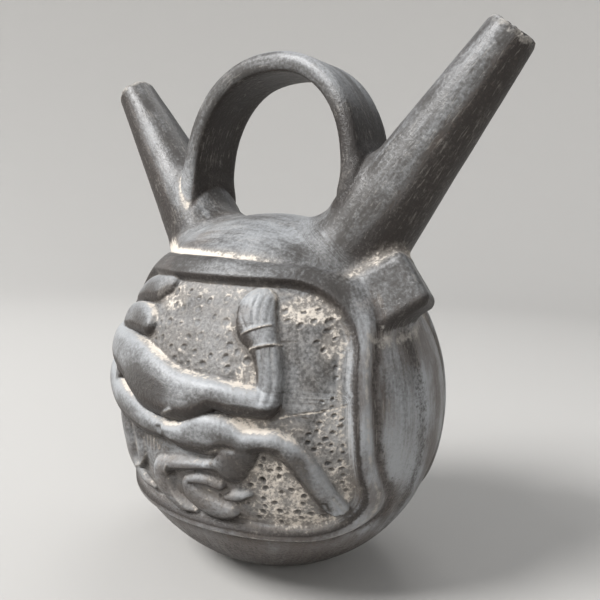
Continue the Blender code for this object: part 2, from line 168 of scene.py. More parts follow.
# Fine modelling on both panels, in the same units: how far a line stands out of the clay,
# or sinks in where it is negative, its half width, how much pale earth lies along it and
# the points that it runs through.
TOOL_LINES = {
    "first_finger_gap": (-0.2, 0.45, 0.1, ((27.6, 27.0), (24.6, 31.0), (23.4, 36.0))),
    "second_finger_gap": (-0.24, 0.4, 0.3, ((28.6, 27.4), (26.2, 32.0), (25.4, 38.0))),
    "third_finger_gap": (-0.24, 0.4, 0.1, ((29.8, 27.8), (27.8, 32.5), (27.4, 39.0))),
    "fourth_finger_gap": (-0.24, 0.4, 0.3, ((31.4, 28.2), (30.0, 33.0), (29.4, 39.2))),
    "fifth_finger_gap": (-0.2, 0.45, 0.1, ((33.2, 28.8), (32.4, 33.0), (31.4, 38.0))),
    "thumb_fold": (-0.3, 0.6, 0.2, ((22.4, 31.5), (23.6, 35.2), (27.4, 37.8), (30.6, 37.4))),
    "upper_wrist_cord": (0.32, 0.36, 0.85, ((26.6, 24.9), (30.0, 26.6), (34.6, 28.4))),
    "lower_wrist_cord": (0.32, 0.36, 0.85, ((30.0, 20.6), (34.0, 21.8), (38.8, 23.0))),
    "inner_sinew": (-0.4, 0.6, 0.0, ((33.4, 20.8), (34.8, 17.0), (36.4, 11.0), (36.6, 5.0))),
    "outer_sinew": (-0.4, 0.6, 0.2, ((36.4, 21.6), (37.6, 18.0), (39.2, 11.0), (39.0, 5.0))),
    "belly_fold": (0.5, 0.6, 0.45, ((-0.6, -7.6), (0.6, -5.4), (3.0, -3.4), (6.4, -1.6))),
    "hip_fold": (-0.9, 0.8, 0.2, ((0.6, -9.0), (2.8, -13.0), (7.4, -15.6), (13.0, -16.6), (18.0, -17.0))),
    "haunch_fold": (-0.6, 0.8, 0.5, ((17.8, -17.6), (20.6, -14.0), (25.0, -11.6), (29.0, -11.2))),
    "knee_edge": (0.5, 0.6, 0.6, ((2.0, -21.8), (0.2, -25.4), (-0.6, -29.6), (0.2, -33.6), (3.4, -37.2))),
    "foot_edge": (0.4, 0.7, 0.5, ((12.0, -29.4), (15.6, -31.6), (20.0, -33.0), (24.4, -34.0))),
    "shin_edge": (0.3, 0.7, 0.5, ((3.0, -20.4), (9.0, -19.4), (17.0, -17.8), (21.0, -17.4))),
    "finger_edge": (0.4, 0.6, 0.6, ((-13.4, -17.0), (-13.8, -23.0), (-17.4, -28.0), (-24.0, -31.0))),
    "first_knuckle": (0.3, 0.45, 0.75, ((-11.0, -15.4), (-11.2, -19.4))),
    "second_knuckle": (0.3, 0.45, 0.75, ((-8.8, -15.2), (-8.8, -19.6))),
    "third_knuckle": (0.3, 0.45, 0.75, ((-6.8, -15.8), (-6.6, -19.4))),
    "fourth_knuckle": (0.25, 0.4, 0.6, ((-4.8, -16.6), (-4.4, -19.2))),
    "first_toe_gap": (-0.6, 0.5, 0.2, ((51.6, -28.6), (52.0, -33.4))),
    "second_toe_gap": (-0.6, 0.5, 0.5, ((53.8, -26.8), (55.2, -32.4))),
    "scratch": (-0.18, 0.35, 1.0, ((42.0, -0.4), (48.0, 1.2), (53.0, 2.2), (58.0, 3.8))),
    "lower_scratch": (-0.3, 0.4, 0.3, ((44.0, 0.9), (49.0, -0.4))),
    "cross_scratch": (-0.2, 0.4, 0.4, ((38.4, 23.6), (42.4, 24.0))),
}
TOOL_BUMPS = {
    "toe": (0.7, 1.0, ((52.6, -33.0),)),
    "second_toe": (0.6, 1.0, ((54.8, -32.4),)),
    "lower_hand": (0.6, 5.0, ((-7.6, -18.6),)),
    "elbow": (0.5, 3.0, ((37.5, 2.5),)),
}

# Where the stippled ground is pricked, in the same units: an ellipse's middle, half width
# and half height, the spacing of its pits, their radius and their depth.
PIT_FIELDS = {
    "between_legs": ((40.0, -26.0), (12.5, 19.0), 3.3, 0.95, 0.95),
    "outer_strip": ((54.5, -12.0), (5.5, 19.0), 2.7, 0.7, 0.7),
    "by_frame": ((55.5, 16.0), (3.0, 14.0), 4.2, 0.7, 0.35),
    "top_row": ((3.0, 36.6), (13.0, 2.0), 4.6, 1.25, 0.5),
    "upper_ground": ((11.0, 22.0), (26.0, 15.0), 4.6, 1.15, 0.30),
    "upper_corner": ((42.0, 33.0), (8.0, 4.0), 4.0, 0.95, 0.5),
    "corner_edge": ((50.0, 26.0), (3.0, 6.0), 4.0, 0.9, 0.5),
    "lower_ground": ((22.0, -34.0), (12.0, 6.0), 3.8, 0.8, 0.5),
    "left_ground": ((-42.0, -20.0), (12.0, 16.0), 3.6, 0.9, 0.7),
}

# How the pits are pricked: tries for each place that a pit could have, the bare ground that
# is kept to the limbs and to the frame line, how close two pits may stand in spacings, the
# ranges of their sizes, depths and squashed widths, and how far out a pit shows, in radii
PIT_TRIES = 12
PIT_LIMB_GAP = 0.5
PIT_FRAME_GAP = 2.4
PIT_CLOSEST = 0.8
PIT_SIZES = (0.75, 1.2)
PIT_DEPTHS = (0.6, 1.1)
PIT_OVALS = (0.7, 1.0)
PIT_REACH = 2.4

# A pit's raised rim, in radii from its middle, and its height as a share of the pit's depth
RIM_MIDDLE = 1.35
RIM_HALF_WIDTH = 0.3
RIM_HEIGHT = 0.25

# Grit on the ground: its height in panel units, its spacing in metres and its seed
GRIT = ((0.22, 0.0050, 3), (0.16, 0.0026, 4))

# How far out such an ellipse fades, from full to nothing, in shares of its half sizes
FIELD_EDGE = (0.65, 1.15)

# Pale earth that stayed in the recesses, in the same units: an ellipse's middle, half width
# and half height, and how thickly the earth lies there.
EARTH_FIELDS = {
    "between_legs": ((40.0, -27.0), (13.0, 19.0), 0.64),
    "outer_strip": ((55.5, -14.0), (5.5, 24.0), 0.55),
    "upper_corner": ((44.0, 34.5), (12.0, 6.0), 0.72),
    "corner_edge": ((52.0, 26.0), (4.0, 9.0), 0.55),
    "upper_left": ((-9.0, 35.0), (10.0, 6.0), 0.62),
    "top_ground": ((4.0, 38.6), (26.0, 3.4), 0.5),
    "upper_ground": ((14.0, 24.0), (27.0, 16.0), 0.36),
    "elbow_bend": ((31.0, 12.5), (5.0, 6.0), 0.6),
    "leg_gap": ((33.0, -2.6), (8.0, 2.4), 0.7),
    "leg_root": ((45.0, -4.0), (6.0, 4.0), 0.5),
    "knee": ((-4.0, -27.5), (5.0, 6.5), 0.42),
    "foot": ((14.0, -33.0), (8.0, 5.0), 0.42),
    "lower_ground": ((46.0, -38.5), (10.0, 4.0), 0.7),
    "left_ground": ((-40.0, -18.0), (14.0, 18.0), 0.4),
    "finger_gap": ((-21.0, -22.0), (3.0, 8.0), 0.55),
}

# Where a crust of earth lies thickest on the upper edges of the limbs, in the same units
CRUST_FIELDS = {
    "shoulder": ((-12.0, 15.5), (16.0, 5.0), 0.8),
    "upper_limb": ((6.0, 11.8), (10.0, 2.6), 0.5),
    "elbow_bend": ((30.0, 9.0), (6.0, 3.0), 0.6),
    "lower_limb": ((-24.0, 0.5), (10.0, 5.0), 0.9),
    "hip": ((10.0, -6.0), (8.0, 4.0), 0.9),
    "leg_root": ((34.0, -3.6), (10.0, 3.0), 1.0),
    "leg": ((49.0, -10.0), (8.0, 14.0), 0.5),
    "side_lobe": ((-18.0, 28.0), (8.0, 5.0), 0.6),
}

# Clay that soot blackened, in the same units
SMOKE_FIELDS = {
    "belly": ((-8.0, 3.5), (15.0, 6.0), 0.55),
    "hip_low": ((16.0, -13.5), (12.0, 4.0), 0.6),
    "haunch": ((27.0, -15.0), (9.0, 8.0), 0.55),
    "folded_leg": ((12.0, -27.0), (18.0, 11.0), 0.36),
    "low_left": ((-6.0, -15.0), (16.0, 5.0), 0.6),
    "elbow_under": ((32.0, 1.4), (12.0, 2.6), 0.75),
    "leg_low": ((47.0, -21.0), (3.4, 12.0), 0.55),
    "side_lobe": ((-18.0, 23.0), (9.0, 4.0), 0.4),
}

# Warm brown clay that took less smoke, in the same units
BROWN_FIELDS = {
    "forearm": ((36.0, 18.0), (5.0, 16.0), 0.15),
    "hand_edge": ((25.0, 29.0), (4.0, 6.0), 0.4),
    "haunch": ((27.0, -15.0), (9.0, 8.0), 0.5),
    "folded_leg": ((10.0, -28.0), (22.0, 12.0), 0.55),
    "lower_frame": ((20.0, -46.0), (50.0, 7.0), 0.6),
    "left_low": ((-24.0, -24.0), (22.0, 18.0), 0.4),
    "leg": ((49.0, -20.0), (5.0, 16.0), 0.4),
}

# How far the skin is divided finely: outwards from each panel's frame line, down from a lip
# and out from a lug, and how far off the plain vessel a point still counts as on it
FRONT_REACH = 0.0050
BACK_REACH = 0.0030
RELIEF_REACH = 0.0020
LIP_REACH = 0.0060
LUG_REACH = 0.0015
ON_BODY = 0.0040
ON_VESSEL = 0.0030
INNER_WALL = 0.0042

# Painted sheen on the upper side of the right and of the left spout, where the light falls
SPOUT_PAINTED_SHEEN = (0.17, 0.03)

# Small damage and hand work: the depth of the lips' nicks, the crease beside the handle's legs,
# and the spacing of the two waves that the surface wavers in
NICK_DEPTH = 0.0008
NICK_SEEDS = (21, 22)
CREASE_DEPTH = 0.0009
CREASE_HALF_WIDTH = 0.0012
WAVER_SPACING = 0.045
WAVER_FINE_SPACING = 0.014
WAVES = 9

# How long burnishing strokes run: a pattern is squeezed by this much along them
STROKE_SQUEEZE = 0.10

# The clay's patterns: whether each follows the burnishing strokes, and its scale, detail,
# roughness and swirl
PATTERNS = {
    "cloud": (False, 30.0, 4.0, 0.55, 0.5),
    "patch": (False, 90.0, 6.0, 0.65, 0.0),
    "speck": (False, 900.0, 2.0, 0.6, 0.0),
    "crumb": (False, 330.0, 6.0, 0.72, 0.0),
    "stroke": (True, 520.0, 4.0, 0.65, 0.0),
    "broad_stroke": (True, 120.0, 4.0, 0.6, 0.0),
    "fleck": (True, 1500.0, 3.0, 0.6, 0.6),
}

# Each soft light's place and diameter
LIGHTS = {
    "key": ((-0.85, -1.55, 1.70), 1.0),
    "fill": ((1.75, -1.40, 0.75), 1.5),
    "top": ((-0.25, 0.75, 2.10), 1.2),
}
SKY = (0.93, 0.96, 1.0, 1.0)

HALF_TURNED = (-1, -1, 1)
SAME_PLACE = 1e-6
TINY = 1e-12


def length(name, description, default):
    kind = {"precision": 4, "unit": "LENGTH"}
    return FloatProperty(name=name, description=description, default=default, min=0.0, **kind)


def angle(name, description, degrees):
    kind = {"subtype": "ANGLE"}
    return FloatProperty(name=name, description=description, default=math.radians(degrees), **kind)


def amount(name, description, default, low=0.0, high=200.0):
    kind = {"min": low, "max": high, "precision": 3}
    return FloatProperty(name=name, description=description, default=default, **kind)


def count(name, description, default):
    return IntProperty(name=name, description=description, default=default, min=0)


def colour(name, description, default):
    kind = {"min": 0.0, "max": 1.0, "size": 3, "subtype": "COLOR"}
    return FloatVectorProperty(name=name, description=description, default=default, **kind)


class BottleBody(bpy.types.PropertyGroup):
    half_width: length("Half width", "Half of the body's width, from side to side", 0.0700)
    half_depth: length("Half depth", "Half of the body's depth, from panel to panel", 0.0596)
    half_height: length("Half height", "Half of the body's height before its foot is flattened", 0.0697)
    foot_cut: length("Foot cut", "How much of the rounded underside the flat foot takes off", 0.0020)
    wall: length("Wall", "Thickness of the body's wall", 0.0048)
    floor: length("Floor", "Thickness of the clay over the foot", 0.0060)


class BottleSpouts(bpy.types.PropertyGroup):
    offset: length("Offset", "How far out each spout's axis meets the body", 0.0367)
    sink: length("Sink", "How far below the body's surface the spout is measured from", 0.0030)
    length: length("Length", "Length of a spout along its axis", 0.0882)
    lean: angle("Lean", "How far each spout leans out from upright", 37.8)
    foot_radius: length("Foot radius", "Outside radius at the foot of a spout", 0.0176)
    tip_radius: length("Tip radius", "Outside radius at the tip of a spout", 0.0084)
    lip_wall: length("Lip wall", "Thickness of the clay at the mouth", 0.0029)
    lip_rounding: length("Lip rounding", "How far the lip's outer edge is rounded", 0.0024)
    mouth_flare: length("Mouth flare", "How far the mouth's inner edge is rounded", 0.0009)
    root: length("Root", "How deep the spout runs on in the body", 0.0120)
    join: length("Join", "Reach of the fillet between a spout and the body", 0.0100)


class BottleHandle(bpy.types.PropertyGroup):
    half_span: length("Half span", "Half of the arch's width, on the middle of its thickness", 0.0400)
    spring: length("Spring", "How far above the body's top the arch is widest", 0.0095)
    rise: length("Rise", "How far the arch rises above its widest place", 0.0462)
    thickness: length("Thickness", "Thickness of the strap", 0.0078)
    width: length("Width", "Width of the strap over its top", 0.0245)
    foot_width: length("Foot width", "Width of the strap at its feet", 0.0300)
    flare: amount("Flare", "How late the strap spreads towards its feet", 3.0, 1.0, 6.0)
    squareness: amount("Squareness", "2 is a round arch, and more is squarer", 2.25, 2.0, 4.0)
    foot_angle: angle("Foot angle", "How far round the arch its feet reach", 117.0)
    rounding: length("Rounding", "Radius of the strap's edges", 0.0030)
    join: length("Join", "Reach of the fillet between the strap and the body", 0.0070)


class BottleLugs(bpy.types.PropertyGroup):
    height: length("Height", "Height of a lug's end", 0.0205)
    width: length("Width", "Width of a lug's end", 0.0170)
    proud: length("Proud", "How far a lug stands out of the shoulder", 0.0128)
    sink: length("Sink", "How deep a lug runs on in the body", 0.0100)
    rounding: length("Rounding", "Radius of a lug's edges", 0.0034)
    join: length("Join", "Reach of the fillet round a lug", 0.0060)
    angle: angle("Angle", "How high on the shoulder a lug stands", 36.5)
    turn: angle("Turn", "How far a lug is turned towards the panel", 20.0)
    shift: length("Shift", "How far a lug stands off the middle, towards the panel", 0.0085)


class BottlePanels(bpy.types.PropertyGroup):
    margin: length("Margin", "How far the panel's frame line stays inside the body's width", 0.0094)
    foot_line: length("Foot line", "Height of the frame line's lower edge", 0.0300)
    height: length("Height", "Height of the panel inside its frame line", 0.0840)
    lean: amount("Lean", "How much the panel narrows towards its top", 0.12, 0.0, 1.0)
    top_corner: length("Top corners", "Radius of the frame line's upper corners", 0.0240)
    foot_corner: length("Foot corner", "Radius of its lower corner under the stretched leg", 0.0180)
    far_corner: length("Far corner", "Radius of its other lower corner", 0.0220)
    ground_depth: length("Ground depth", "How deep the ground is pressed in", 0.0028)
    ridge_height: length("Ridge height", "How far the frame's ridge stands out", 0.0010)
    inner_slope: length("Inner slope", "Half the width of the slope from ridge to ground", 0.0016)
    ridge_width_top: length("Upper ridge width", "Width of the ridge along the top", 0.0076)
    ridge_width_side: length("Side ridge width", "Width of the ridge along sides and bottom", 0.0036)
    ridge_taper: amount("Ridge taper", "How much of its upper width the ridge loses to the right", 0.5)
    groove_depth: length("Groove depth", "Depth of the groove outside the ridge", 0.0012)
    groove_width: length("Groove width", "Half width of that groove", 0.0011)
    fade_near: length("Fade start", "How far off the body the relief starts to fade", 0.0010)
    fade_far: length("Fade end", "How far off the body the relief has gone", 0.0035)
    seed: count("Pricking seed", "Another number pricks the ground anew", 11)


class BottleFineness(bpy.types.PropertyGroup):
    grain: length("Grain", "Spacing of the mesh on the plain clay", 0.0019)
    front_cuts: count("Front cuts", "How finely the front panel is divided", 3)
    back_cuts: count("Back cuts", "How finely the back panel is divided", 1)
    edge_cuts: count("Edge cuts", "How finely lips and lugs are divided", 1)
    most_triangles: count("Most triangles", "The finished vessel is thinned out to this many", 192000)
    unevenness: length("Unevenness", "How far the hand-made surface wavers", 0.0004)


class BottleFinish(bpy.types.PropertyGroup):
    clay: colour("Clay", "Burnished clay where the smoke took it evenly", (0.048, 0.044, 0.041))
    # Sheen is painted sheen on the limbs' upward faces, the dome, the spouts' upper sides, the handle and
    # the frame's ridge, and elsewhere a lighter grey tone of the clay
    sheen: colour("Sheen", "Burnished clay with a grey bloom", (0.285, 0.295, 0.305))
    # This dark colour is soot, and also painted shade under the limbs, down their flanks, in pits, creases
    # and the groove, and under the lug, the spouts and the handle's arch
    smoke: colour("Smoke", "Clay that the smoke blackened", (0.017, 0.013, 0.011))
    brown: colour("Brown", "Clay that took less smoke", (0.066, 0.049, 0.039))
    dust: colour("Dust", "Thin dust of earth on the ground of the panels", (0.34, 0.31, 0.275))
    earth: colour("Earth", "Pale earth left in the recesses", (0.62, 0.56, 0.49))
    # Worn is also the colour of a painted highlight on the lower frame's ridge
    worn: colour("Worn", "Clay rubbed bare along edges", (0.34, 0.32, 0.29))


class BottleStudio(bpy.types.PropertyGroup):
    azimuth: angle("Azimuth", "How far to the right of the front the camera stands", 37.59)
    elevation: angle("Elevation", "How far above the bottle's middle the camera stands", 5.67)
    roll: angle("Roll", "How far the camera is turned about its own line of sight", 2.08)
    distance: length("Distance", "Distance from the camera to what it looks at", 0.24862)
    look_right: length("Look right", "How far right of the bottle's axis the camera looks", 0.01207)
    look_height: length("Look height", "Height that the camera looks at", 0.10368)
    lens: amount("Lens", "Focal length in millimetres on a 36 mm sensor", 38.12, 10.0, 200.0)
    key: amount("Key light", "Power of the large soft light in watts", 95.0)
    fill: amount("Fill light", "Power of the weak light from the right in watts", 32.0)
    top: amount("Top light", "Power of the light from above in watts", 13.0)
    world: amount("World", "Strength of the light from all round", 0.40)
    floor: colour("Floor", "Colour of the plain floor", (0.42, 0.41, 0.395))
    floor_reach: length("Floor reach", "Radius of the flat floor", 1.1)
    floor_rise: length("Floor rise", "Radius of the curve at the floor's edge", 1.1)


def placed(name, data):
    """An object of this data, linked to the scene."""
    made = bpy.data.objects.new(name, data)
    bpy.context.scene.collection.objects.link(made)
    return made


def mesh_object(name, bm):
    mesh = bpy.data.meshes.new(name)
    bm.to_mesh(mesh)
    bm.free()
    return placed(name, mesh)


@contextmanager
def opened(mesh):
    """A mesh as a bmesh, written back when the work on it is done."""
    bm = bmesh.new()
    bm.from_mesh(mesh)
    yield bm
    bm.to_mesh(mesh)
    bm.free()


def spun(profile, steps):
    """A profile of (radius, height) spun about Z, with its poles closed."""
    bm = bmesh.new()
    verts = [bm.verts.new((radius, 0, height)) for radius, height in profile]
    edges = [bm.edges.new(pair) for pair in zip(verts, verts[1:])]
    turn = {"cent": (0, 0, 0), "axis": (0, 0, 1), "angle": 2 * math.pi}
    bmesh.ops.spin(bm, geom=verts + edges, steps=steps, use_merge=True, **turn)
    bmesh.ops.remove_doubles(bm, verts=bm.verts, dist=SAME_PLACE)
    bmesh.ops.recalc_face_normals(bm, faces=bm.faces)
    return bm


def turned(bm, half_turned):
    if half_turned:
        bm.transform(Matrix.Rotation(math.pi, 4, "Z"))
    return bm


def both_sides(points):
    """The points as they are, and as the +X side's forms see them from the -X side."""
    return points, points * HALF_TURNED


def smooth_step(value, start, end):
    share = np.clip((value - start) / (end - start), 0, 1)
    return share * share * (3 - 2 * share)


def hump(value, middle, half_width):
    """1 at the middle, falling away softly on both sides."""
    return np.exp(-(((value - middle) / half_width) ** 2))


def join(first, second, reach):
    """The distance to two shapes whose seam is filled with a soft fillet of clay."""
    overlap = np.maximum(reach - np.abs(first - second), 0) / reach
    return np.minimum(first, second) - overlap**2 * reach / 4


def rounded_box_distance(half_offsets, rounding):
    """The distance outside a box, from how far each offset passes its half size."""
    inner = half_offsets + rounding
    return np.linalg.norm(np.maximum(inner, 0), axis=1) + np.minimum(inner.max(axis=1), 0) - rounding


def signed_power(value, power):
    return math.copysign(abs(value) ** power, value)


class Form:
    """The plain vessel: where its pieces stand, and how far points lie outside it."""

    ARCH_STEPS = 56

    def __init__(self, scene):
        self.body, self.spouts, self.handle = scene.bottle_body, scene.bottle_spouts, scene.bottle_handle
        self.lugs, self.panels = scene.bottle_lugs, scene.bottle_panels
        self.middle = np.array((0, 0, self.body.half_height - self.body.foot_cut))
        self.axes = np.array((self.body.half_width, self.body.half_depth, self.body.half_height))
        self.top = self.middle[2] + self.body.half_height
        self.panel_half_width = self.body.half_width - self.panels.margin
        self.panel_half_height = self.panels.height / 2
        self.panel_centre = self.panels.foot_line + self.panel_half_height
        self.unit = self.panel_half_width / PANEL_UNITS
        lean, offset = self.spouts.lean, self.spouts.offset
        self.spout_axis = Vector((math.sin(lean), 0, math.cos(lean)))
        height = self.body.half_height * math.sqrt(1 - (offset / self.body.half_width) ** 2)
        self.spout_foot = Vector((offset, 0, self.middle[2] + height - self.spouts.sink))
        self.lug_place = self.find_lug_place()

    def find_lug_place(self):
        """The matrix of the +X lug's middle: out along the shoulder and turned a little to the front."""
        lugs = self.lugs
        across = math.cos(lugs.angle) / self.body.half_width
        up = math.sin(lugs.angle) / self.body.half_height
        reach = 1 / math.hypot(across, up) + (lugs.proud - lugs.sink) / 2
        middle = Matrix.Translation((0, -lugs.shift, self.middle[2]))
        out = Matrix.Translation((reach, 0, 0)) @ Matrix.Rotation(lugs.turn, 4, "Z")
        return middle @ Matrix.Rotation(-lugs.angle, 4, "Y") @ out

    def along_spout(self, distance):
        """The matrix that stands a shape on the +X spout's axis, at a distance from its foot."""
        turn = Matrix.Rotation(self.spouts.lean, 4, "Y")
        return Matrix.Translation(self.spout_foot + self.spout_axis * distance) @ turn

    def arch_point(self, share):
        """(x, z) on the handle's middle line, from its left foot at -1 to its right foot at 1."""
        handle = self.handle
        turn, power = share * handle.foot_angle, 2 / handle.squareness
        across = handle.half_span * signed_power(math.sin(turn), power)
        return across, self.top + handle.spring + handle.rise * signed_power(math.cos(turn), power)

    def strap_half_width(self, share):
        """The strap is narrow over its top and spreads towards its feet."""
        handle = self.handle
        return (handle.width + (handle.foot_width - handle.width) * abs(share) ** handle.flare) / 2

    def egg_distance(self, points):
        local = (points - self.middle) / self.axes
        near = np.linalg.norm(local, axis=1)
        return near * (near - 1) / np.linalg.norm(local / self.axes, axis=1)

    def egg_normal(self, points):
        outward = (points - self.middle) / self.axes**2
        return outward / np.linalg.norm(outward, axis=1)[:, None]

    def on_spout(self, points):
        """How far along the +X spout points lie, how far out from its axis, and their offset from it."""
        rel = points - np.array(self.spout_foot)
        along = rel @ np.array(self.spout_axis)
        offset = rel - along[:, None] * np.array(self.spout_axis)
        return along, np.linalg.norm(offset, axis=1), offset

    def spout_distance(self, points):
        spouts = self.spouts
        along, out, _ = self.on_spout(points)
        slope = (spouts.foot_radius - spouts.tip_radius) / spouts.length
        side = (out - spouts.foot_radius + slope * along) / math.hypot(1, slope)
        lip = -join(-side, spouts.length - along, spouts.lip_rounding)
        return np.maximum(lip, -spouts.root - along)

    def on_arch(self, points):
        """How far points lie from the handle's middle line, at which share of it and on which side."""
        nearest = np.full(len(points), np.inf)
        share, side = np.zeros(len(points)), np.zeros(len(points))
        steps = np.linspace(-1, 1, self.ARCH_STEPS + 1)
        for low, high in zip(steps, steps[1:]):
            start, end = np.array(self.arch_point(low)), np.array(self.arch_point(high))
            run, rel = end - start, points[:, [0, 2]] - start
            part = np.clip(rel @ run / (run @ run), 0, 1)
            away = np.linalg.norm(rel - part[:, None] * run, axis=1)
            closer = away < nearest
            nearest[closer] = away[closer]
            share[closer] = (low + part * (high - low))[closer]
            side[closer] = np.sign(rel[:, 1] * run[0] - rel[:, 0] * run[1])[closer]
        return nearest, share, side

    def handle_distance(self, points):
        nearest, share, _ = self.on_arch(points)
        offsets = (nearest - self.handle.thickness / 2, np.abs(points[:, 1]) - self.strap_half_width(share))
        return rounded_box_distance(np.stack(offsets, axis=1), self.handle.rounding)

    def lug_local(self, points):
        back = np.array(self.lug_place.inverted())
        return points @ back[:3, :3].T + back[:3, 3]

    def lug_distance(self, points):
        lugs = self.lugs
        half_size = np.array((lugs.proud + lugs.sink, lugs.width, lugs.height)) / 2
        return rounded_box_distance(np.abs(self.lug_local(points)) - half_size, lugs.rounding)

    def distance(self, points):
        """How far points lie outside the plain vessel, with its fillets and before its relief."""
        found = self.egg_distance(points)
        for seen in both_sides(points):
            found = join(found, self.spout_distance(seen), self.spouts.join)
        found = join(found, self.handle_distance(points), self.handle.join)
        for seen in both_sides(points):
            found = join(found, self.lug_distance(seen), self.lugs.join)
        return found

    def settled(self, points, passes):
        """Points moved on to the vessel's true surface."""
        step = self.body.wall / 50
        for _ in range(passes):
            sides = [step * side for side in np.eye(3)]
            slopes = [self.distance(points + side) - self.distance(points - side) for side in sides]
            outward = np.stack(slopes, axis=1)
            outward /= np.linalg.norm(outward, axis=1)[:, None] + TINY
            points = points - outward * self.distance(points)[:, None]
        return points

    def panel_spot(self, points):
        """(x, z) on a panel seen square on, in panel units, with the back panel's half turn undone."""
        foot = points - self.egg_normal(points) * self.egg_distance(points)[:, None]
        side = np.where(points[:, 1] < 0, 1, -1)
        return side * foot[:, 0] / self.unit, (foot[:, 2] - self.panel_centre) / self.unit


def smooth_line(points):
    """A line carried smoothly through its points, with whatever else is given at each."""
    given = np.array(points, float)
    ends = np.vstack((2 * given[0] - given[1], given, 2 * given[-1] - given[-2]))
    line = []
    for before, start, end, after in zip(ends, ends[1:], ends[2:], ends[3:]):
        for step in np.arange(LIMB_STEPS) / LIMB_STEPS:
            swing = (end - before) * step + (2 * before - 5 * start + 4 * end - after) * step**2
            line.append(start + (swing + (3 * (start - end) + after - before) * step**3) / 2)
    return np.array(line + [given[-1]])


def to_line(x, z, start, end):
    """The distance to a straight piece of a line, and the share of it that is nearest."""
    run = end[:2] - start[:2]
    share = np.clip(((x - start[0]) * run[0] + (z - start[1]) * run[1]) / max(run @ run, TINY), 0, 1)
    return np.hypot(x - start[0] - share * run[0], z - start[1] - share * run[1]), share


def limb_field(x, z, limbs):
    """How high the figure stands at points of the panel, and how far they are outside its outline."""
    top, clear = np.zeros_like(x), np.full_like(x, np.inf)
    for height, points in limbs:
        line = smooth_line(points)
        limb = np.zeros_like(x)
        for start, end in zip(line, line[1:]):
            away, share = to_line(x, z, start, end)
            half_width = start[2] + share * (end[2] - start[2])
            fullness = 1 - np.clip(away / half_width, 0, 1) ** LIMB_ROUNDNESS
            limb = np.maximum(limb, height * np.minimum(half_width / LIMB_TAPER, 1) * np.sqrt(fullness))
            clear = np.minimum(clear, away - half_width)
        reach = np.minimum(LIMB_JOIN, np.minimum(limb, top)) + LIMB_LEAST_JOIN
        top = np.maximum(limb, top) + np.maximum(reach - np.abs(limb - top), 0) ** 2 / (4 * reach)
    return top, clear


def tool_marks(x, z):
    """Lines and bumps that a tool left in the figure, and how much pale earth lies along them."""
    marks, pale = np.zeros_like(x), np.zeros_like(x)
    for height, half_width, earth, points in TOOL_LINES.values():
        away = np.full_like(x, np.inf)
        line = smooth_line(points)
        for start, end in zip(line, line[1:]):
            away = np.minimum(away, to_line(x, z, start, end)[0])
        mark = hump(away, 0, half_width)
        marks = np.where(np.abs(height * mark) > np.abs(marks), height * mark, marks)
        pale = np.maximum(pale, earth * mark)
    for height, half_width, ((middle_x, middle_z),) in TOOL_BUMPS.values():
        marks += height * np.exp(-((x - middle_x) ** 2 + (z - middle_z) ** 2) / half_width**2)
    return marks, pale


def limbs_of(front):
    """The limbs of the figure. The back's lacks the small forms that only the front has."""
    return [*MAIN_LIMBS.values(), *(FRONT_LIMBS.values() if front else ())]


def frame_distance(form, x, z):
    """The distance outside the panel's rounded frame line in panel units, negative inside it."""
    panels = form.panels
    lower = np.where(x > 0, panels.foot_corner, panels.far_corner)
    corner = np.where(z > 0, panels.top_corner, lower) / form.unit
    half_height = form.panel_half_height / form.unit
    lean = panels.lean * (np.hypot(z, LEAN_START) + z) / 2 / half_height
    over_x = np.abs(x) * (1 + lean) - (PANEL_UNITS - corner)
    over_z = np.abs(z) - (half_height - corner)
    outside = np.hypot(np.maximum(over_x, 0), np.maximum(over_z, 0))
    return outside + np.minimum(np.maximum(over_x, over_z), 0) - corner


def ridge_width(form, x, z):
    """The width of the frame's ridge in panel units: broad along the top, and tapering to the right."""
    panels, half_height = form.panels, form.panel_half_height / form.unit
    taper = 1 - panels.ridge_taper * smooth_step(x, 0, 2 * PANEL_UNITS / 3)
    widening = (panels.ridge_width_top - panels.ridge_width_side) * taper
    return (panels.ridge_width_side + widening * smooth_step(z, half_height / 2, half_height)) / form.unit


def groove_profile(form, x, z, away):
    """The groove outside the ridge, from 0 to 1: sharp against the ridge, and easy on its outer side."""
    width, past = form.panels.groove_width / form.unit, away - ridge_width(form, x, z)
    near_side, far_side = GROOVE_SIDES
    return hump(past, 0, np.where(past < 0, near_side * width, far_side * width))


def in_fields(x, z, fields):
    """How strongly points lie in soft-edged ellipses of a table."""
    found = np.zeros_like(x)
    for (middle_x, middle_z), (half_x, half_z), strength in fields.values():
        reach = np.hypot((x - middle_x) / half_x, (z - middle_z) / half_z)
        found = np.maximum(found, strength * (1 - smooth_step(reach, *FIELD_EDGE)))
    return found


def prick_pits(form, front):
    """The stippling: (x, z, radius, depth, oval) of every pit, spread by chance over the bare ground."""
    chance = np.random.default_rng(form.panels.seed + (not front))
    pits = []
    for (middle_x, middle_z), (half_x, half_z), spacing, radius, depth in PIT_FIELDS.values():
        tries = int(PIT_TRIES * half_x * half_z / spacing**2) + PIT_TRIES
        spots = chance.uniform(-1, 1, (tries, 2))
        spots = spots[np.linalg.norm(spots, axis=1) < 1] * (half_x, half_z) + (middle_x, middle_z)
        if not len(spots):
            continue
        _, clear = limb_field(spots[:, 0], spots[:, 1], limbs_of(front))
        inside = frame_distance(form, spots[:, 0], spots[:, 1]) < -PIT_FRAME_GAP
        for x, z in spots[(clear > radius + PIT_LIMB_GAP) & inside]:
            if all(math.hypot(x - pit[0], z - pit[1]) > PIT_CLOSEST * spacing for pit in pits):
                size, turn = chance.uniform(*PIT_SIZES), chance.uniform(0, math.pi)
                oval = (chance.uniform(*PIT_OVALS), math.cos(turn), math.sin(turn))
                pits.append((x, z, radius * size, depth * size * chance.uniform(*PIT_DEPTHS), oval))
    return pits


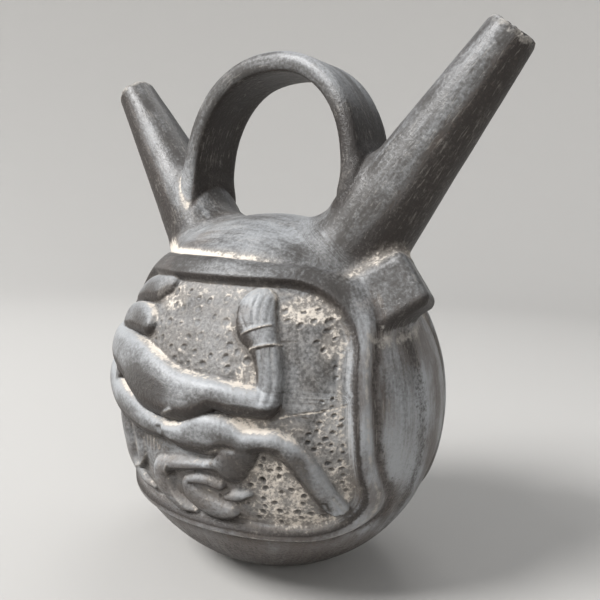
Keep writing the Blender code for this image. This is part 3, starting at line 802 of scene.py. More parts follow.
def pit_field(x, z, pits):
    """The relief of the pits at points of the panel, and how much each is in a pit and on a rim."""
    relief, inside, rims = np.zeros_like(x), np.zeros_like(x), np.zeros_like(x)
    for middle_x, middle_z, radius, deep, (squash, turn_x, turn_z) in pits:
        reach = PIT_REACH * radius
        near = (np.abs(x - middle_x) < reach) & (np.abs(z - middle_z) < reach)
        off_x, off_z = x[near] - middle_x, z[near] - middle_z
        along, across = off_x * turn_x + off_z * turn_z, off_z * turn_x - off_x * turn_z
        away = np.hypot(along, across / squash) / radius
        bowl, rim = np.exp(-(away**4)), hump(away, RIM_MIDDLE, RIM_HALF_WIDTH)
        relief[near] += deep * (RIM_HEIGHT * rim - bowl)
        inside[near] = np.maximum(inside[near], bowl)
        rims[near] = np.maximum(rims[near], rim)
    return relief, inside, rims


def wave(points, spacing, seed):
    """Smooth random unevenness from 0 to 1, as a few slanting waves."""
    chance = np.random.default_rng(seed)
    total = np.zeros(len(points))
    for _ in range(WAVES):
        direction = chance.normal(size=3)
        direction *= 2 * math.pi / (spacing * chance.uniform(0.7, 1.6) * np.linalg.norm(direction))
        total += np.sin(points @ direction + chance.uniform(0, 2 * math.pi))
    return 0.5 + np.clip(total / WAVES, -0.5, 0.5)


def panel_relief(form, points, front):
    """How far the clay of one panel stands out of the plain egg, and how deep its frame's groove is."""
    panels, unit = form.panels, form.unit
    x, z = form.panel_spot(points)
    away = frame_distance(form, x, z) * unit
    upper = smooth_step(z, *UPPER_PART)
    slope = panels.inner_slope * (1 - 0.4 * upper)
    inside = 1 - smooth_step(away, -slope, 0)
    width = ridge_width(form, x, z) * unit
    ridge = panels.ridge_height * smooth_step(away, -slope, slope)
    ridge *= 1 - smooth_step(away, width / 2, width)
    groove = panels.groove_depth * groove_profile(form, x, z, away / unit) * (0.4 + 0.6 * upper)
    figure, clear = limb_field(x, z, limbs_of(front))
    marks, _ = tool_marks(x, z)
    pits, _, _ = pit_field(x, z, prick_pits(form, front))
    grit = sum(height * (wave(points, spacing, seed) - 0.5) for height, spacing, seed in GRIT)
    figure += (1.0 if front else BACK_MARKS) * marks
    figure += pits * smooth_step(clear, 0, 1) + grit * smooth_step(clear, -0.5, 1.5)
    return ridge + inside * (unit * figure - panels.ground_depth), groove


def vertex_points(mesh):
    points = np.empty(len(mesh.vertices) * 3, np.float32)
    mesh.vertices.foreach_get("co", points)
    return points.reshape(-1, 3).astype(float)


def vertex_normals(mesh):
    normals = np.empty(len(mesh.vertices) * 3, np.float32)
    mesh.vertex_normals.foreach_get("vector", normals)
    return normals.reshape(-1, 3).astype(float)


def move_vertices(mesh, points):
    mesh.vertices.foreach_set("co", points.ravel().astype(np.float32))
    mesh.update()


def spout_cone(form, start, end, start_radius, end_radius, sides):
    """A capped cone on the +X spout's axis."""
    bm = bmesh.new()
    shape = {"radius1": start_radius, "radius2": end_radius, "depth": end - start}
    place = form.along_spout((start + end) / 2)
    bmesh.ops.create_cone(bm, cap_ends=True, segments=sides, matrix=place, **shape)
    return bm


def egg(half_width, half_depth, low, high, subdivisions):
    """An ellipsoid on the body's axis from one height to another."""
    bm = bmesh.new()
    stretch = Matrix.Diagonal((half_width, half_depth, (high - low) / 2, 1))
    place = Matrix.Translation((0, 0, (low + high) / 2)) @ stretch
    bmesh.ops.create_icosphere(bm, subdivisions=subdivisions, radius=1, matrix=place)
    return bm


def strap_blank(form):
    """The strap handle: a strip of clay bent to an arch, then given its thickness."""
    bm = bmesh.new()
    bmesh.ops.create_grid(bm, x_segments=form.ARCH_STEPS, y_segments=4, size=1)
    for vert in bm.verts:
        x, z = form.arch_point(vert.co.x)
        vert.co = (x, vert.co.y * form.strap_half_width(vert.co.x), z)
    bmesh.ops.recalc_face_normals(bm, faces=bm.faces)
    strap = mesh_object("strap_blank", bm)
    thick = strap.modifiers.new("thickness", "SOLIDIFY")
    thick.thickness = form.handle.thickness
    thick.offset = 0
    thick.use_even_offset = True
    return strap


def lug_blank(form, half_turned):
    bm = bmesh.new()
    size = Matrix.Diagonal((form.lugs.proud + form.lugs.sink, form.lugs.width, form.lugs.height, 1))
    bmesh.ops.create_cube(bm, size=1, matrix=form.lug_place @ size)
    return mesh_object("lug_blank", turned(bm, half_turned))


def combined(name, base, others, operation, grain=0.0):
    """The mesh of a base object joined with others or cut by them, which uses all of them up."""
    for other in others:
        step = base.modifiers.new(other.name, "BOOLEAN")
        step.operation = operation
        step.object = other
    if grain:
        clay = base.modifiers.new("clay", "REMESH")
        clay.mode = "VOXEL"
        clay.voxel_size = grain
    graph = bpy.context.evaluated_depsgraph_get()
    mesh = bpy.data.meshes.new_from_object(base.evaluated_get(graph))
    mesh.name = name
    for used in [base, *others]:
        bpy.data.objects.remove(used, do_unlink=True)
    return mesh


def clay_blank(form, grain):
    """The outside of the whole vessel as one even skin."""
    body, spouts = form.body, form.spouts
    blank = egg(body.half_width, body.half_depth, -body.foot_cut, form.top, 5)
    blank = mesh_object("body_blank", blank)
    others = [strap_blank(form)]
    for half_turned in (False, True):
        cone = spout_cone(form, 0, spouts.length, spouts.foot_radius, spouts.tip_radius, 48)
        others += [mesh_object("spout_blank", turned(cone, half_turned)), lug_blank(form, half_turned)]
    return combined("vessel", blank, others, "UNION", grain)


def relax(mesh, form, factor, chosen=None):
    """Evens out the spacing of the skin, then lays it back on the vessel's true surface."""
    with opened(mesh) as bm:
        verts = [vert for vert in bm.verts if chosen is None or chosen[vert.index]]
        axes = {"use_axis_x": True, "use_axis_y": True, "use_axis_z": True}
        bmesh.ops.smooth_vert(bm, verts=verts, factor=factor, **axes)
    if form:
        move_vertices(mesh, form.settled(vertex_points(mesh), 2))


def divide(mesh, choose, cuts):
    """Divides the faces whose middles are chosen, with their edges always in the same order."""
    if not cuts:
        return
    with opened(mesh) as bm:
        middles = np.array([face.calc_center_median() for face in bm.faces])
        chosen = [face for face, wanted in zip(bm.faces, choose(middles)) if wanted]
        edges = dict.fromkeys(edge for face in chosen for edge in face.edges)
        bmesh.ops.subdivide_edges(bm, edges=list(edges), cuts=cuts, use_grid_fill=True)


def on_panel(form, points, front, reach):
    """Which points lie on the front or the back panel, out to a reach from its frame line."""
    x, z = form.panel_spot(points)
    facing = (points[:, 1] < 0) == front
    near = frame_distance(form, x, z) * form.unit < reach
    return facing & near & (np.abs(form.egg_distance(points)) < ON_BODY)


def at_edges(form, points):
    """Which points lie on the spouts' lips, on the lugs or in the crease beside the handle."""
    found = handle_crease(form, points) > 0.3
    for seen in both_sides(points):
        along, out, _ = form.on_spout(seen)
        found |= (along > form.spouts.length - LIP_REACH) & (out < 2 * form.spouts.tip_radius)
        found |= form.lug_distance(seen) < LUG_REACH
    return found & (np.abs(form.distance(points)) < ON_VESSEL)


def skin(form, fineness):
    """The vessel's outside, laid on its true surface and fine where the relief and the edges are."""
    mesh = clay_blank(form, fineness.grain)
    for _ in range(3):
        relax(mesh, form, 0.5)
    divide(mesh, lambda points: on_panel(form, points, False, BACK_REACH), fineness.back_cuts)
    divide(mesh, lambda points: on_panel(form, points, True, FRONT_REACH), fineness.front_cuts)
    divide(mesh, lambda points: at_edges(form, points), fineness.edge_cuts)
    move_vertices(mesh, form.settled(vertex_points(mesh), 2))
    return mesh


def nick_depth(form, points):
    """How deep the lips are chipped: small nicks round each mouth."""
    deep = np.zeros(len(points))
    for seen, seed in zip(both_sides(points), NICK_SEEDS):
        along, _, _ = form.on_spout(seen)
        at_lip = smooth_step(along, form.spouts.length - 0.0024, form.spouts.length - 0.0004)
        large = smooth_step(wave(points, 0.0060, seed), 0.62, 0.85)
        small = smooth_step(wave(points, 0.0025, seed), 0.6, 0.9)
        deep += NICK_DEPTH * at_lip * (large + 0.5 * small)
    return deep


def handle_crease(form, points):
    """From 0 to 1, how close points lie to the crease between the handle's legs and the spouts."""
    handle = form.handle_distance(points)
    close = np.zeros(len(points))
    for seen in both_sides(points):
        crease = hump(handle - form.spout_distance(seen), 0, CREASE_HALF_WIDTH)
        close = np.maximum(close, crease * (1 - smooth_step(handle, 0.0025, 0.0045)))
    return close * smooth_step(form.egg_distance(points), 0.0005, 0.004)


def sculpt(mesh, form, fineness):
    """Presses the relief into the skin and gives it the small unevenness of hand work."""
    points = vertex_points(mesh)
    off_body = np.abs(form.egg_distance(points))
    on_body = 1 - smooth_step(off_body, form.panels.fade_near, form.panels.fade_far)
    near_body = 1 - smooth_step(off_body, 0.0025, 0.0065)
    height, groove = np.zeros(len(points)), np.zeros(len(points))
    for front in (True, False):
        facing = (points[:, 1] < 0) == front
        height[facing], groove[facing] = panel_relief(form, points[facing], front)
    waver = (wave(points, WAVER_SPACING, 1) + 0.4 * wave(points, WAVER_FINE_SPACING, 2)) / 1.4
    carved = fineness.unevenness * waver + nick_depth(form, points)
    carved += CREASE_DEPTH * handle_crease(form, points) + groove * near_body
    normals = vertex_normals(mesh)
    points = points + form.egg_normal(points) * (height * on_body)[:, None]
    points -= normals * carved[:, None]
    move_vertices(mesh, points)
    relief = on_panel(form, points, True, RELIEF_REACH) | on_panel(form, points, False, RELIEF_REACH)
    relax(mesh, None, 0.35, relief)
    move_vertices(mesh, np.clip(vertex_points(mesh), np.array(CAD_LOW), np.array(CAD_HIGH)))


def bore(form, half_turned):
    """The hollow of a spout, with the inner edge of its mouth rounded."""
    spouts, body = form.spouts, form.body
    start, end = -(spouts.sink + 2 * body.wall), spouts.length + 0.004
    inner_foot, inner_tip = spouts.foot_radius - body.wall, spouts.tip_radius - spouts.lip_wall
    taper = (inner_tip - inner_foot) / spouts.length
    flare, arc_steps = spouts.mouth_flare, 4
    profile = [(0, start), (inner_foot + taper * start, start)]
    for step in range(arc_steps + 1):
        turn = math.pi / 2 * step / arc_steps
        along = spouts.length - flare * (1 - math.sin(turn))
        profile.append((inner_foot + taper * along + flare * (1 - math.cos(turn)), along))
    profile += [(inner_tip + flare * 1.6, end), (0, end)]
    bm = spun(profile, 48)
    bm.transform(form.along_spout(0))
    return mesh_object("bore", turned(bm, half_turned))


def hollowed(mesh, form):
    """Takes the inside out of the vessel, opens its spouts and flattens its foot."""
    body, panels = form.body, form.panels
    half_width = body.half_width - body.wall - panels.ground_depth / 2
    half_depth = body.half_depth - body.wall - panels.ground_depth
    void = egg(half_width, half_depth, body.floor, form.top - body.wall, 4)
    ground = bmesh.new()
    depth = 0.005 + body.foot_cut
    slab = Matrix.Translation((0, 0, -depth / 2)) @ Matrix.Diagonal((0.2, 0.2, depth, 1))
    bmesh.ops.create_cube(ground, size=1, matrix=slab)
    cutters = [mesh_object("body_void", void), bore(form, False), bore(form, True)]
    cutters.append(mesh_object("ground", ground))
    return combined("vessel", placed("vessel_solid", mesh), cutters, "DIFFERENCE")


def thinned(mesh, most):
    """The mesh with its flattest places thinned out, so that it has no more than so many triangles."""
    mesh.calc_loop_triangles()
    if len(mesh.loop_triangles) <= most:
        return mesh
    full = placed("vessel_full", mesh)
    thin = full.modifiers.new("thin", "DECIMATE")
    thin.ratio = most / len(mesh.loop_triangles)
    thin.use_collapse_triangulate = True
    return combined("vessel", full, [], "UNION")


def put_attribute(mesh, name, values):
    kind = "FLOAT" if values.ndim == 1 else "FLOAT_VECTOR"
    field = "value" if values.ndim == 1 else "vector"
    made = mesh.attributes.new(name, kind, "POINT")
    made.data.foreach_set(field, values.astype(np.float32).ravel())


def stroke_directions(form, points):
    """A pattern space in which burnishing strokes run long: over the dome, down the sides, and along
    the limbs, the spouts and the handle."""

    def blend(strokes, other, weight):
        return strokes + (other - strokes) * weight[:, None]

    outward = points[:, :2] / (np.linalg.norm(points[:, :2], axis=1)[:, None] + TINY)
    strokes = np.concatenate((outward * form.body.half_width, points[:, 2:] * STROKE_SQUEEZE), axis=1)
    x, z = form.panel_spot(points)
    arm = smooth_step(x, 30, 35) * smooth_step(z, 4, 9)
    limbs = blend(points * (0.3, 0.6, 1), points * (1, 0.6, 0.25), arm)
    strokes = blend(strokes, limbs, 1 - smooth_step(frame_distance(form, x, z), -2, 0))
    dome = smooth_step(points[:, 2], form.top - 0.040, form.top - 0.024)
    dome *= 1 - smooth_step(np.abs(points[:, 0]), 0.032, 0.048)
    strokes = blend(strokes, points * (STROKE_SQUEEZE, 1, 1), dome)
    nearest, share, side = form.on_arch(points)
    run = share * form.handle.half_span * 2.4
    strap = np.stack((nearest * side, points[:, 1], run * STROKE_SQUEEZE), axis=1)
    on_strap = 1 - smooth_step(form.handle_distance(points), 0.001, 0.004)
    strokes = blend(strokes, strap, smooth_step(form.egg_distance(points), 0.003, 0.010) * on_strap)
    for turn, seen in zip((1, -1), both_sides(points)):
        along, _, offset = form.on_spout(seen)
        run = along[:, None] * np.array(form.spout_axis) * STROKE_SQUEEZE
        cone = offset + run + (0.3 * turn, 0, 0)
        strokes = blend(strokes, cone, 1 - smooth_step(form.spout_distance(seen), 0.001, 0.005))
    return strokes


class PanelSpot:
    """Where points of one panel lie: on a limb or the ground, in a pit, by the frame or in its groove.

    tilt is how much more a point faces up than the plain egg does.
    """

    def __init__(self, form, points, tilt, front):
        self.tilt = tilt
        self.x, self.z = x, z = form.panel_spot(points)
        limbs, step = limbs_of(front), 0.6
        self.clear = limb_field(x, z, limbs)[1]
        rise = limb_field(x, z + step, limbs)[1] - limb_field(x, z - step, limbs)[1]
        self.upward = np.clip(rise / (2 * step), -1, 1)
        self.away, self.width = frame_distance(form, x, z), ridge_width(form, x, z)
        self.groove = groove_profile(form, x, z, self.away)
        self.inside = 1 - smooth_step(self.away, -1.5, 0.3)
        self.ground = smooth_step(self.clear, -0.6, 0.6) * self.inside
        self.limb = self.inside - self.ground
        self.upper = smooth_step(z, *UPPER_PART)
        self.lower = 1 - self.upper
        _, self.in_pit, self.on_rim = pit_field(x, z, prick_pits(form, front))
        self.warm = in_fields(x, z, BROWN_FIELDS)
        # flank and under place painted shade, on the limbs' down-facing flanks and along their lower
        # outlines
        self.flank = smooth_step(-tilt, 0.02, 0.34) * self.inside
        self.under = hump(self.clear, 0.1, 1.9) * smooth_step(-self.upward, 0.0, 0.6) * self.inside
        self.frame_band = hump(self.away, -0.2, 0.6)


def panel_earth(spot):
    """Pale earth: a crust on the limbs' upper edges, dust on the ground, and what lies in the groove."""
    fields = in_fields(spot.x, spot.z, EARTH_FIELDS)
    crust = (0.62 + 0.45 * in_fields(spot.x, spot.z, CRUST_FIELDS)) * (1 - 0.75 * spot.warm)
    crust *= hump(spot.clear, -0.2, 1.05) * smooth_step(spot.upward, 0.0, 0.7) * spot.inside
    ledge = (0.4 + 0.35 * smooth_step(spot.x, 20, 50)) * hump(spot.away, -2.9, 1.0)
    dust = np.maximum(np.maximum(fields, 0.22) + 0.2 * spot.on_rim, ledge)
    dust *= spot.ground * (1 - 0.5 * spot.in_pit)
    lines = tool_marks(spot.x, spot.z)[1] * spot.inside * (1 - 0.4 * spot.warm)
    groove = spot.groove * spot.upper * (1 - smooth_step(spot.x, 14, 38))
    groove *= 1.6 - 0.6 * smooth_step(spot.x, -10, 16)
    return np.maximum.reduce([crust, dust, lines, fields * spot.limb * 0.35]) + groove


def panel_soot_and_shade(spot):
    """Soot in patches and along the frame, and painted shade: under the limbs and down their flanks, in the
    pits and creases, and in the lower groove.
    """
    # crease, pits, flank, under and groove are painted shade; soot and frame_band are soot on the clay
    crease = 0.55 * hump(spot.clear, 1.2, 0.4) * smooth_step(spot.upward, 0.2, 0.8) * spot.inside
    pits = spot.in_pit * spot.ground * (0.1 + 0.65 * smooth_step(-spot.z, -5, 12))
    soot = in_fields(spot.x, spot.z, SMOKE_FIELDS) * spot.inside
    groove = 0.6 * spot.groove * spot.lower
    return np.maximum.reduce([spot.flank, spot.under, crease, pits, spot.frame_band, soot, groove])


def panel_brown(spot):
    """Warm brown clay: beside the soot, and along the frame."""
    frame = 0.7 * spot.frame_band + 0.5 * (spot.groove + hump(spot.away, 3.0, 2.0)) * spot.lower
    shoulder = 0.35 * (1 - spot.inside) * spot.upper * smooth_step(-spot.x, -8, 14)
    return np.maximum.reduce([spot.warm, 0.8 * spot.flank, 0.8 * spot.under, frame, shoulder])


def panel_wear_and_highlight(spot):
    """Clay rubbed bare along the limbs' crowns and the lower frame's ridge, with a painted highlight on
    that ridge's crest.
    """
    crowns = 0.2 * hump(spot.clear, -2.5, 1.5) * spot.limb
    return crowns + 0.6 * hump(spot.away, spot.width / 2, 0.6) * spot.lower


def panel_tone_and_sheen(spot):
    """Painted sheen and the clay's grey tone: painted light on the limbs' upward faces, a painted highlight
    on the lower frame's ridge, and an even tone on the ground and round the frame.
    """
    # Painted light: the limbs are lighter the more they face up
    limbs = np.clip(0.38 + 1.5 * spot.tilt, 0, 1.1) * (1 - 0.35 * spot.warm)
    limbs += 0.3 * hump(spot.x, 28, 7) * hump(spot.z, 33, 6)
    limbs += 0.35 * hump(spot.x, 37, 6) * hump(spot.z, 15, 11)
    # Painted highlight along the lower frame's ridge
    low_frame = 0.25 * hump(spot.away, 8.0, 3.0) + 0.45 * hump(spot.away, 1.8, 1.0)
    on_ridge = 1 - smooth_step(spot.away, 0.8 * spot.width, 1.2 * spot.width)
    high_frame = 0.18 * hump(spot.x, 16, 12) - 0.16 - 0.16 * on_ridge
    frame = 0.34 + low_frame * spot.lower + high_frame * spot.upper
    return spot.limb * limbs + spot.ground * 0.36 + (1 - spot.inside) * frame


PANEL_MARKS = {
    "earth": panel_earth,
    "smoke": panel_soot_and_shade,
    "brown": panel_brown,
    "wear": panel_wear_and_highlight,
    "bloom": panel_tone_and_sheen,
}


class Marks:
    """How much of each mark lies at every point of the skin, for the finish to read."""

    def __init__(self, points):
        self.shares = {name: np.zeros(len(points)) for name in (*PANEL_MARKS, "scuff")}

    def most(self, name, share):
        self.shares[name] = np.maximum(self.shares[name], share)

    def add_tone_and_sheen(self, share):
        self.shares["bloom"] += share

    def turn_tone_and_sheen(self, where, share):
        """Gives a place a tone of its own, which is painted sheen where it follows the light."""
        self.shares["bloom"] += (share - self.shares["bloom"]) * where


def mark_panels(marks, form, points, normals):
    on_body = 1 - smooth_step(np.abs(form.egg_distance(points)), 0.004, 0.006)
    tilt = normals[:, 2] - form.egg_normal(points)[:, 2]
    for front in (True, False):
        facing = (points[:, 1] < 0) == front
        spot = PanelSpot(form, points[facing], tilt[facing], front)
        for name, share_of in PANEL_MARKS.items():
            marks.shares[name][facing] = share_of(spot) * on_body[facing]
    marks.add_tone_and_sheen(0.3 * (1 - on_body))
    return on_body


def mark_bare_body(marks, form, points, on_body):
    """The sides, with patches, flecks and a dark sweep down their middle, the underside, darker towards the
    bottom, and the dome, with painted light on its top.
    """
    height = points[:, 2]
    flat = smooth_step(np.abs(points[:, 0]), 0.045, 0.060) * on_body
    sweep = hump(points[:, 1] + 0.10 * (height - 0.06), -0.004, 0.0045)
    marks.most("scuff", 0.6 * flat)
    marks.most("smoke", 0.6 * flat * sweep)
    marks.most("brown", 0.5 * flat * (0.5 + wave(points, 0.030, 5)))
    marks.most("wear", 0.3 * flat * (1 - smooth_step(height, 0.030, 0.060)))
    marks.add_tone_and_sheen((0.9 * wave(points, 0.024, 6) - 0.16) * flat)
    # Darker and browner towards the bottom
    marks.most("smoke", 0.85 * (1 - smooth_step(height, 0.004, 0.036)))
    marks.most("brown", 0.8 * (1 - smooth_step(height, 0.014, 0.060)))
    dome = smooth_step(height, form.top - 0.017, form.top - 0.009) * on_body
    marks.most("earth", 0.22 * dome * (1 - smooth_step(points[:, 0], -0.010, 0.015)))
    marks.most("scuff", 0.45 * dome)
    # Painted light: the top of the dome is made lighter
    marks.add_tone_and_sheen(0.35 * dome)


def mark_spout(marks, form, seen, lit):
    """A spout, grey with painted sheen above and black-brown with painted shade below, with its lip rubbed
    bare.
    """
    along, out, offset = form.on_spout(seen)
    near = 1 - smooth_step(form.spout_distance(seen), 0.0005, 0.003)
    low_side = np.array((math.cos(form.spouts.lean), 0.35, -math.sin(form.spouts.lean)))
    under = offset @ low_side / (out + TINY)
    foot = 1 - smooth_step(along, 0.004, 0.030)
    lip = smooth_step(along, form.spouts.length - 0.0065, form.spouts.length - 0.0005)
    # Painted shade on the lower side, over its black-brown clay
    marks.most("smoke", near * 0.9 * smooth_step(under + 0.32 * foot, 0.0, 0.5))
    marks.most("brown", near * 0.75 * smooth_step(under, -0.2, 0.5))
    # Painted sheen on the upper side, where the light falls
    marks.turn_tone_and_sheen(near, 0.04 + lit * smooth_step(-under, -0.3, 0.5))
    marks.most("scuff", 0.5 * near)
    marks.most("wear", 0.7 * lip * near)


def mark_lug(marks, form, seen):
    """A lug, worn along its edges, with painted shade under its end, and with earth between it and the
    spout.
    """
    lugs, local, away = form.lugs, form.lug_local(seen), form.lug_distance(seen)
    on_lug = 1 - smooth_step(away, 0.0005, 0.002)
    half_size = np.array((lugs.proud + lugs.sink, lugs.width, lugs.height)) / 2
    to_edge = np.sort(half_size - np.abs(local), axis=1)[:, 1]
    height = local[:, 2]
    collar = hump(away, 0.0010, 0.0028) * smooth_step(height, 0.003, 0.008)
    marks.most("wear", on_lug * 0.5 * (1 - smooth_step(to_edge, 0.0006, 0.0030)))
    # Painted shade under the lug's end
    marks.most("smoke", on_lug * 0.95 * smooth_step(-height, 0.005, 0.0095))
    marks.most("brown", on_lug * 0.5 * smooth_step(-height, 0.000, 0.0095))
    marks.most("earth", 0.75 * collar * (1 - smooth_step(form.spout_distance(seen), 0.003, 0.009)))
    marks.turn_tone_and_sheen(on_lug, 0.3)
    marks.most("wear", 0.6 * hump(away, 0.004, 0.003) * smooth_step(-height, 0.006, 0.012))


def mark_handle(marks, form, points):
    """The strap, black with painted shade within its arch and on its right leg, grey outside it with
    painted highlights on its left leg and its top, and the creases beside its legs.
    """
    nearest, share, side = form.on_arch(points)
    strap = 1 - smooth_step(form.handle_distance(points), 0.0005, 0.003)
    strap *= smooth_step(form.egg_distance(points), 0.001, 0.006)
    within = smooth_step(-side * nearest, 0.0026, 0.0038)
    # Painted shade within the arch
    marks.most("smoke", strap * 1.1 * within * (1 - 0.6 * smooth_step(-share, 0.65, 0.9)))
    marks.most("brown", strap * 0.7 * within)
    # Painted shade on the right leg
    marks.most("smoke", strap * 1.1 * hump(share, 0.66, 0.2) * (1 - within))
    # Painted highlights on the left leg and near the top
    bright = 0.16 + 0.3 * (1 - smooth_step(share, -0.75, -0.2)) + 0.3 * hump(share, 0.18, 0.16)
    marks.turn_tone_and_sheen(strap, (1 - 0.8 * within) * bright)
    marks.most("scuff", 0.5 * strap)
    crease = handle_crease(form, points)
    left = (points[:, 0] < 0) * smooth_step(-points[:, 1], 0.002, 0.006)
    marks.most("earth", crease**2 * left * (1 - within))
    # Painted shade in the creases beside the legs
    marks.most("smoke", 0.8 * crease * (1 - left))


def on_inner_wall(form, points):
    """1 for points on the hollow's wall, and 0 for those outside."""
    found = form.distance(points) < -INNER_WALL
    for seen in both_sides(points):
        along, out, _ = form.on_spout(seen)
        found |= (along > 0.01) & (out < form.spouts.tip_radius - 0.6 * form.spouts.lip_wall)
    return found.astype(float)


def mark_surface(mesh, form):
    """Stores where pale earth, soot and painted shade, brown clay, wear and a painted highlight, tone and
    painted sheen, and scuffs lie, for the finish to read.
    """
    points = vertex_points(mesh)
    marks = Marks(points)
    on_body = mark_panels(marks, form, points, vertex_normals(mesh))
    mark_bare_body(marks, form, points, on_body)
    for seen, lit in zip(both_sides(points), SPOUT_PAINTED_SHEEN):
        mark_spout(marks, form, seen, lit)
        mark_lug(marks, form, seen)
    mark_handle(marks, form, points)
    inner = on_inner_wall(form, points)
    for name, share in marks.shares.items():
        put_attribute(mesh, name, share * (1 - inner))
    put_attribute(mesh, "inside", inner)
    put_attribute(mesh, "strokes", stroke_directions(form, points))


class Signal:
    """A value or colour on its way through a material: ordinary arithmetic on it adds Math nodes."""

    def __init__(self, tree, socket):
        self.tree, self.socket = tree, socket

    def maths(self, operation, first, second=0.0, third=0.0):
        made = self.tree.nodes.new("ShaderNodeMath")
        made.operation = operation
        for socket, value in zip(made.inputs, (first, second, third)):
            connect(self.tree, socket, value)
        return Signal(self.tree, made.outputs[0])

    def __add__(self, other):
        return self.maths("ADD", self, other)

    def __sub__(self, other):
        return self.maths("SUBTRACT", self, other)

    def __rsub__(self, other):
        return self.maths("SUBTRACT", other, self)

    def __mul__(self, other):
        return self.maths("MULTIPLY", self, other)

    def __truediv__(self, other):
        return self.maths("DIVIDE", self, other)

    def __pow__(self, other):
        return self.maths("POWER", self, other)

    __radd__ = __add__
    __rmul__ = __mul__

    def most(self, other):
        return self.maths("MAXIMUM", self, other)

    def between(self, start, end):
        """0 up to start, 1 from end, and a soft step in between."""
        made = self.tree.nodes.new("ShaderNodeMapRange")
        made.interpolation_type = "SMOOTHSTEP"
        for name, value in (("Value", self), ("From Min", start), ("From Max", end)):
            connect(self.tree, made.inputs[name], value)
        return Signal(self.tree, made.outputs["Result"])


def connect(tree, socket, value):
    if isinstance(value, Signal):
        tree.links.new(value.socket, socket)
    else:
        socket.default_value = value


class Recipe:
    """A material in the making."""

    def __init__(self, name):
        self.material = bpy.data.materials.new(name)
        self.material.use_nodes = True
        self.tree = self.material.node_tree
        self.shader = self.tree.nodes["Principled BSDF"]

    def node(self, kind, settings=None, inputs=None, output=0):
        """Adds a node: its settings first, then the values or links of its sockets."""
        made = self.tree.nodes.new(kind)
        for name, value in (settings or {}).items():
            setattr(made, name, value)
        for name, value in (inputs or {}).items():
            connect(self.tree, made.inputs[name], value)
        return Signal(self.tree, made.outputs[output])

    def attribute(self, name, output=2):
        return self.node("ShaderNodeAttribute", {"attribute_name": name}, output=output)

    def noise(self, where, scale, detail, roughness, distortion):
        inputs = {"Vector": where, "Scale": scale, "Detail": detail, "Roughness": roughness}
        return self.node("ShaderNodeTexNoise", inputs={**inputs, "Distortion": distortion})

    def mix(self, share, first, second):
        """One colour turned into another by a share from 0 to 1."""
        made = self.tree.nodes.new("ShaderNodeMix")
        made.data_type = "RGBA"
        for index, value in ((0, share), (6, first), (7, second)):
            if not isinstance(value, Signal) and index:
                value = (*value, 1.0)
            connect(self.tree, made.inputs[index], value)
        return Signal(self.tree, made.outputs[2])

    def finish(self, inputs):
        for name, value in inputs.items():
            connect(self.tree, self.shader.inputs[name], value)
        return self.material


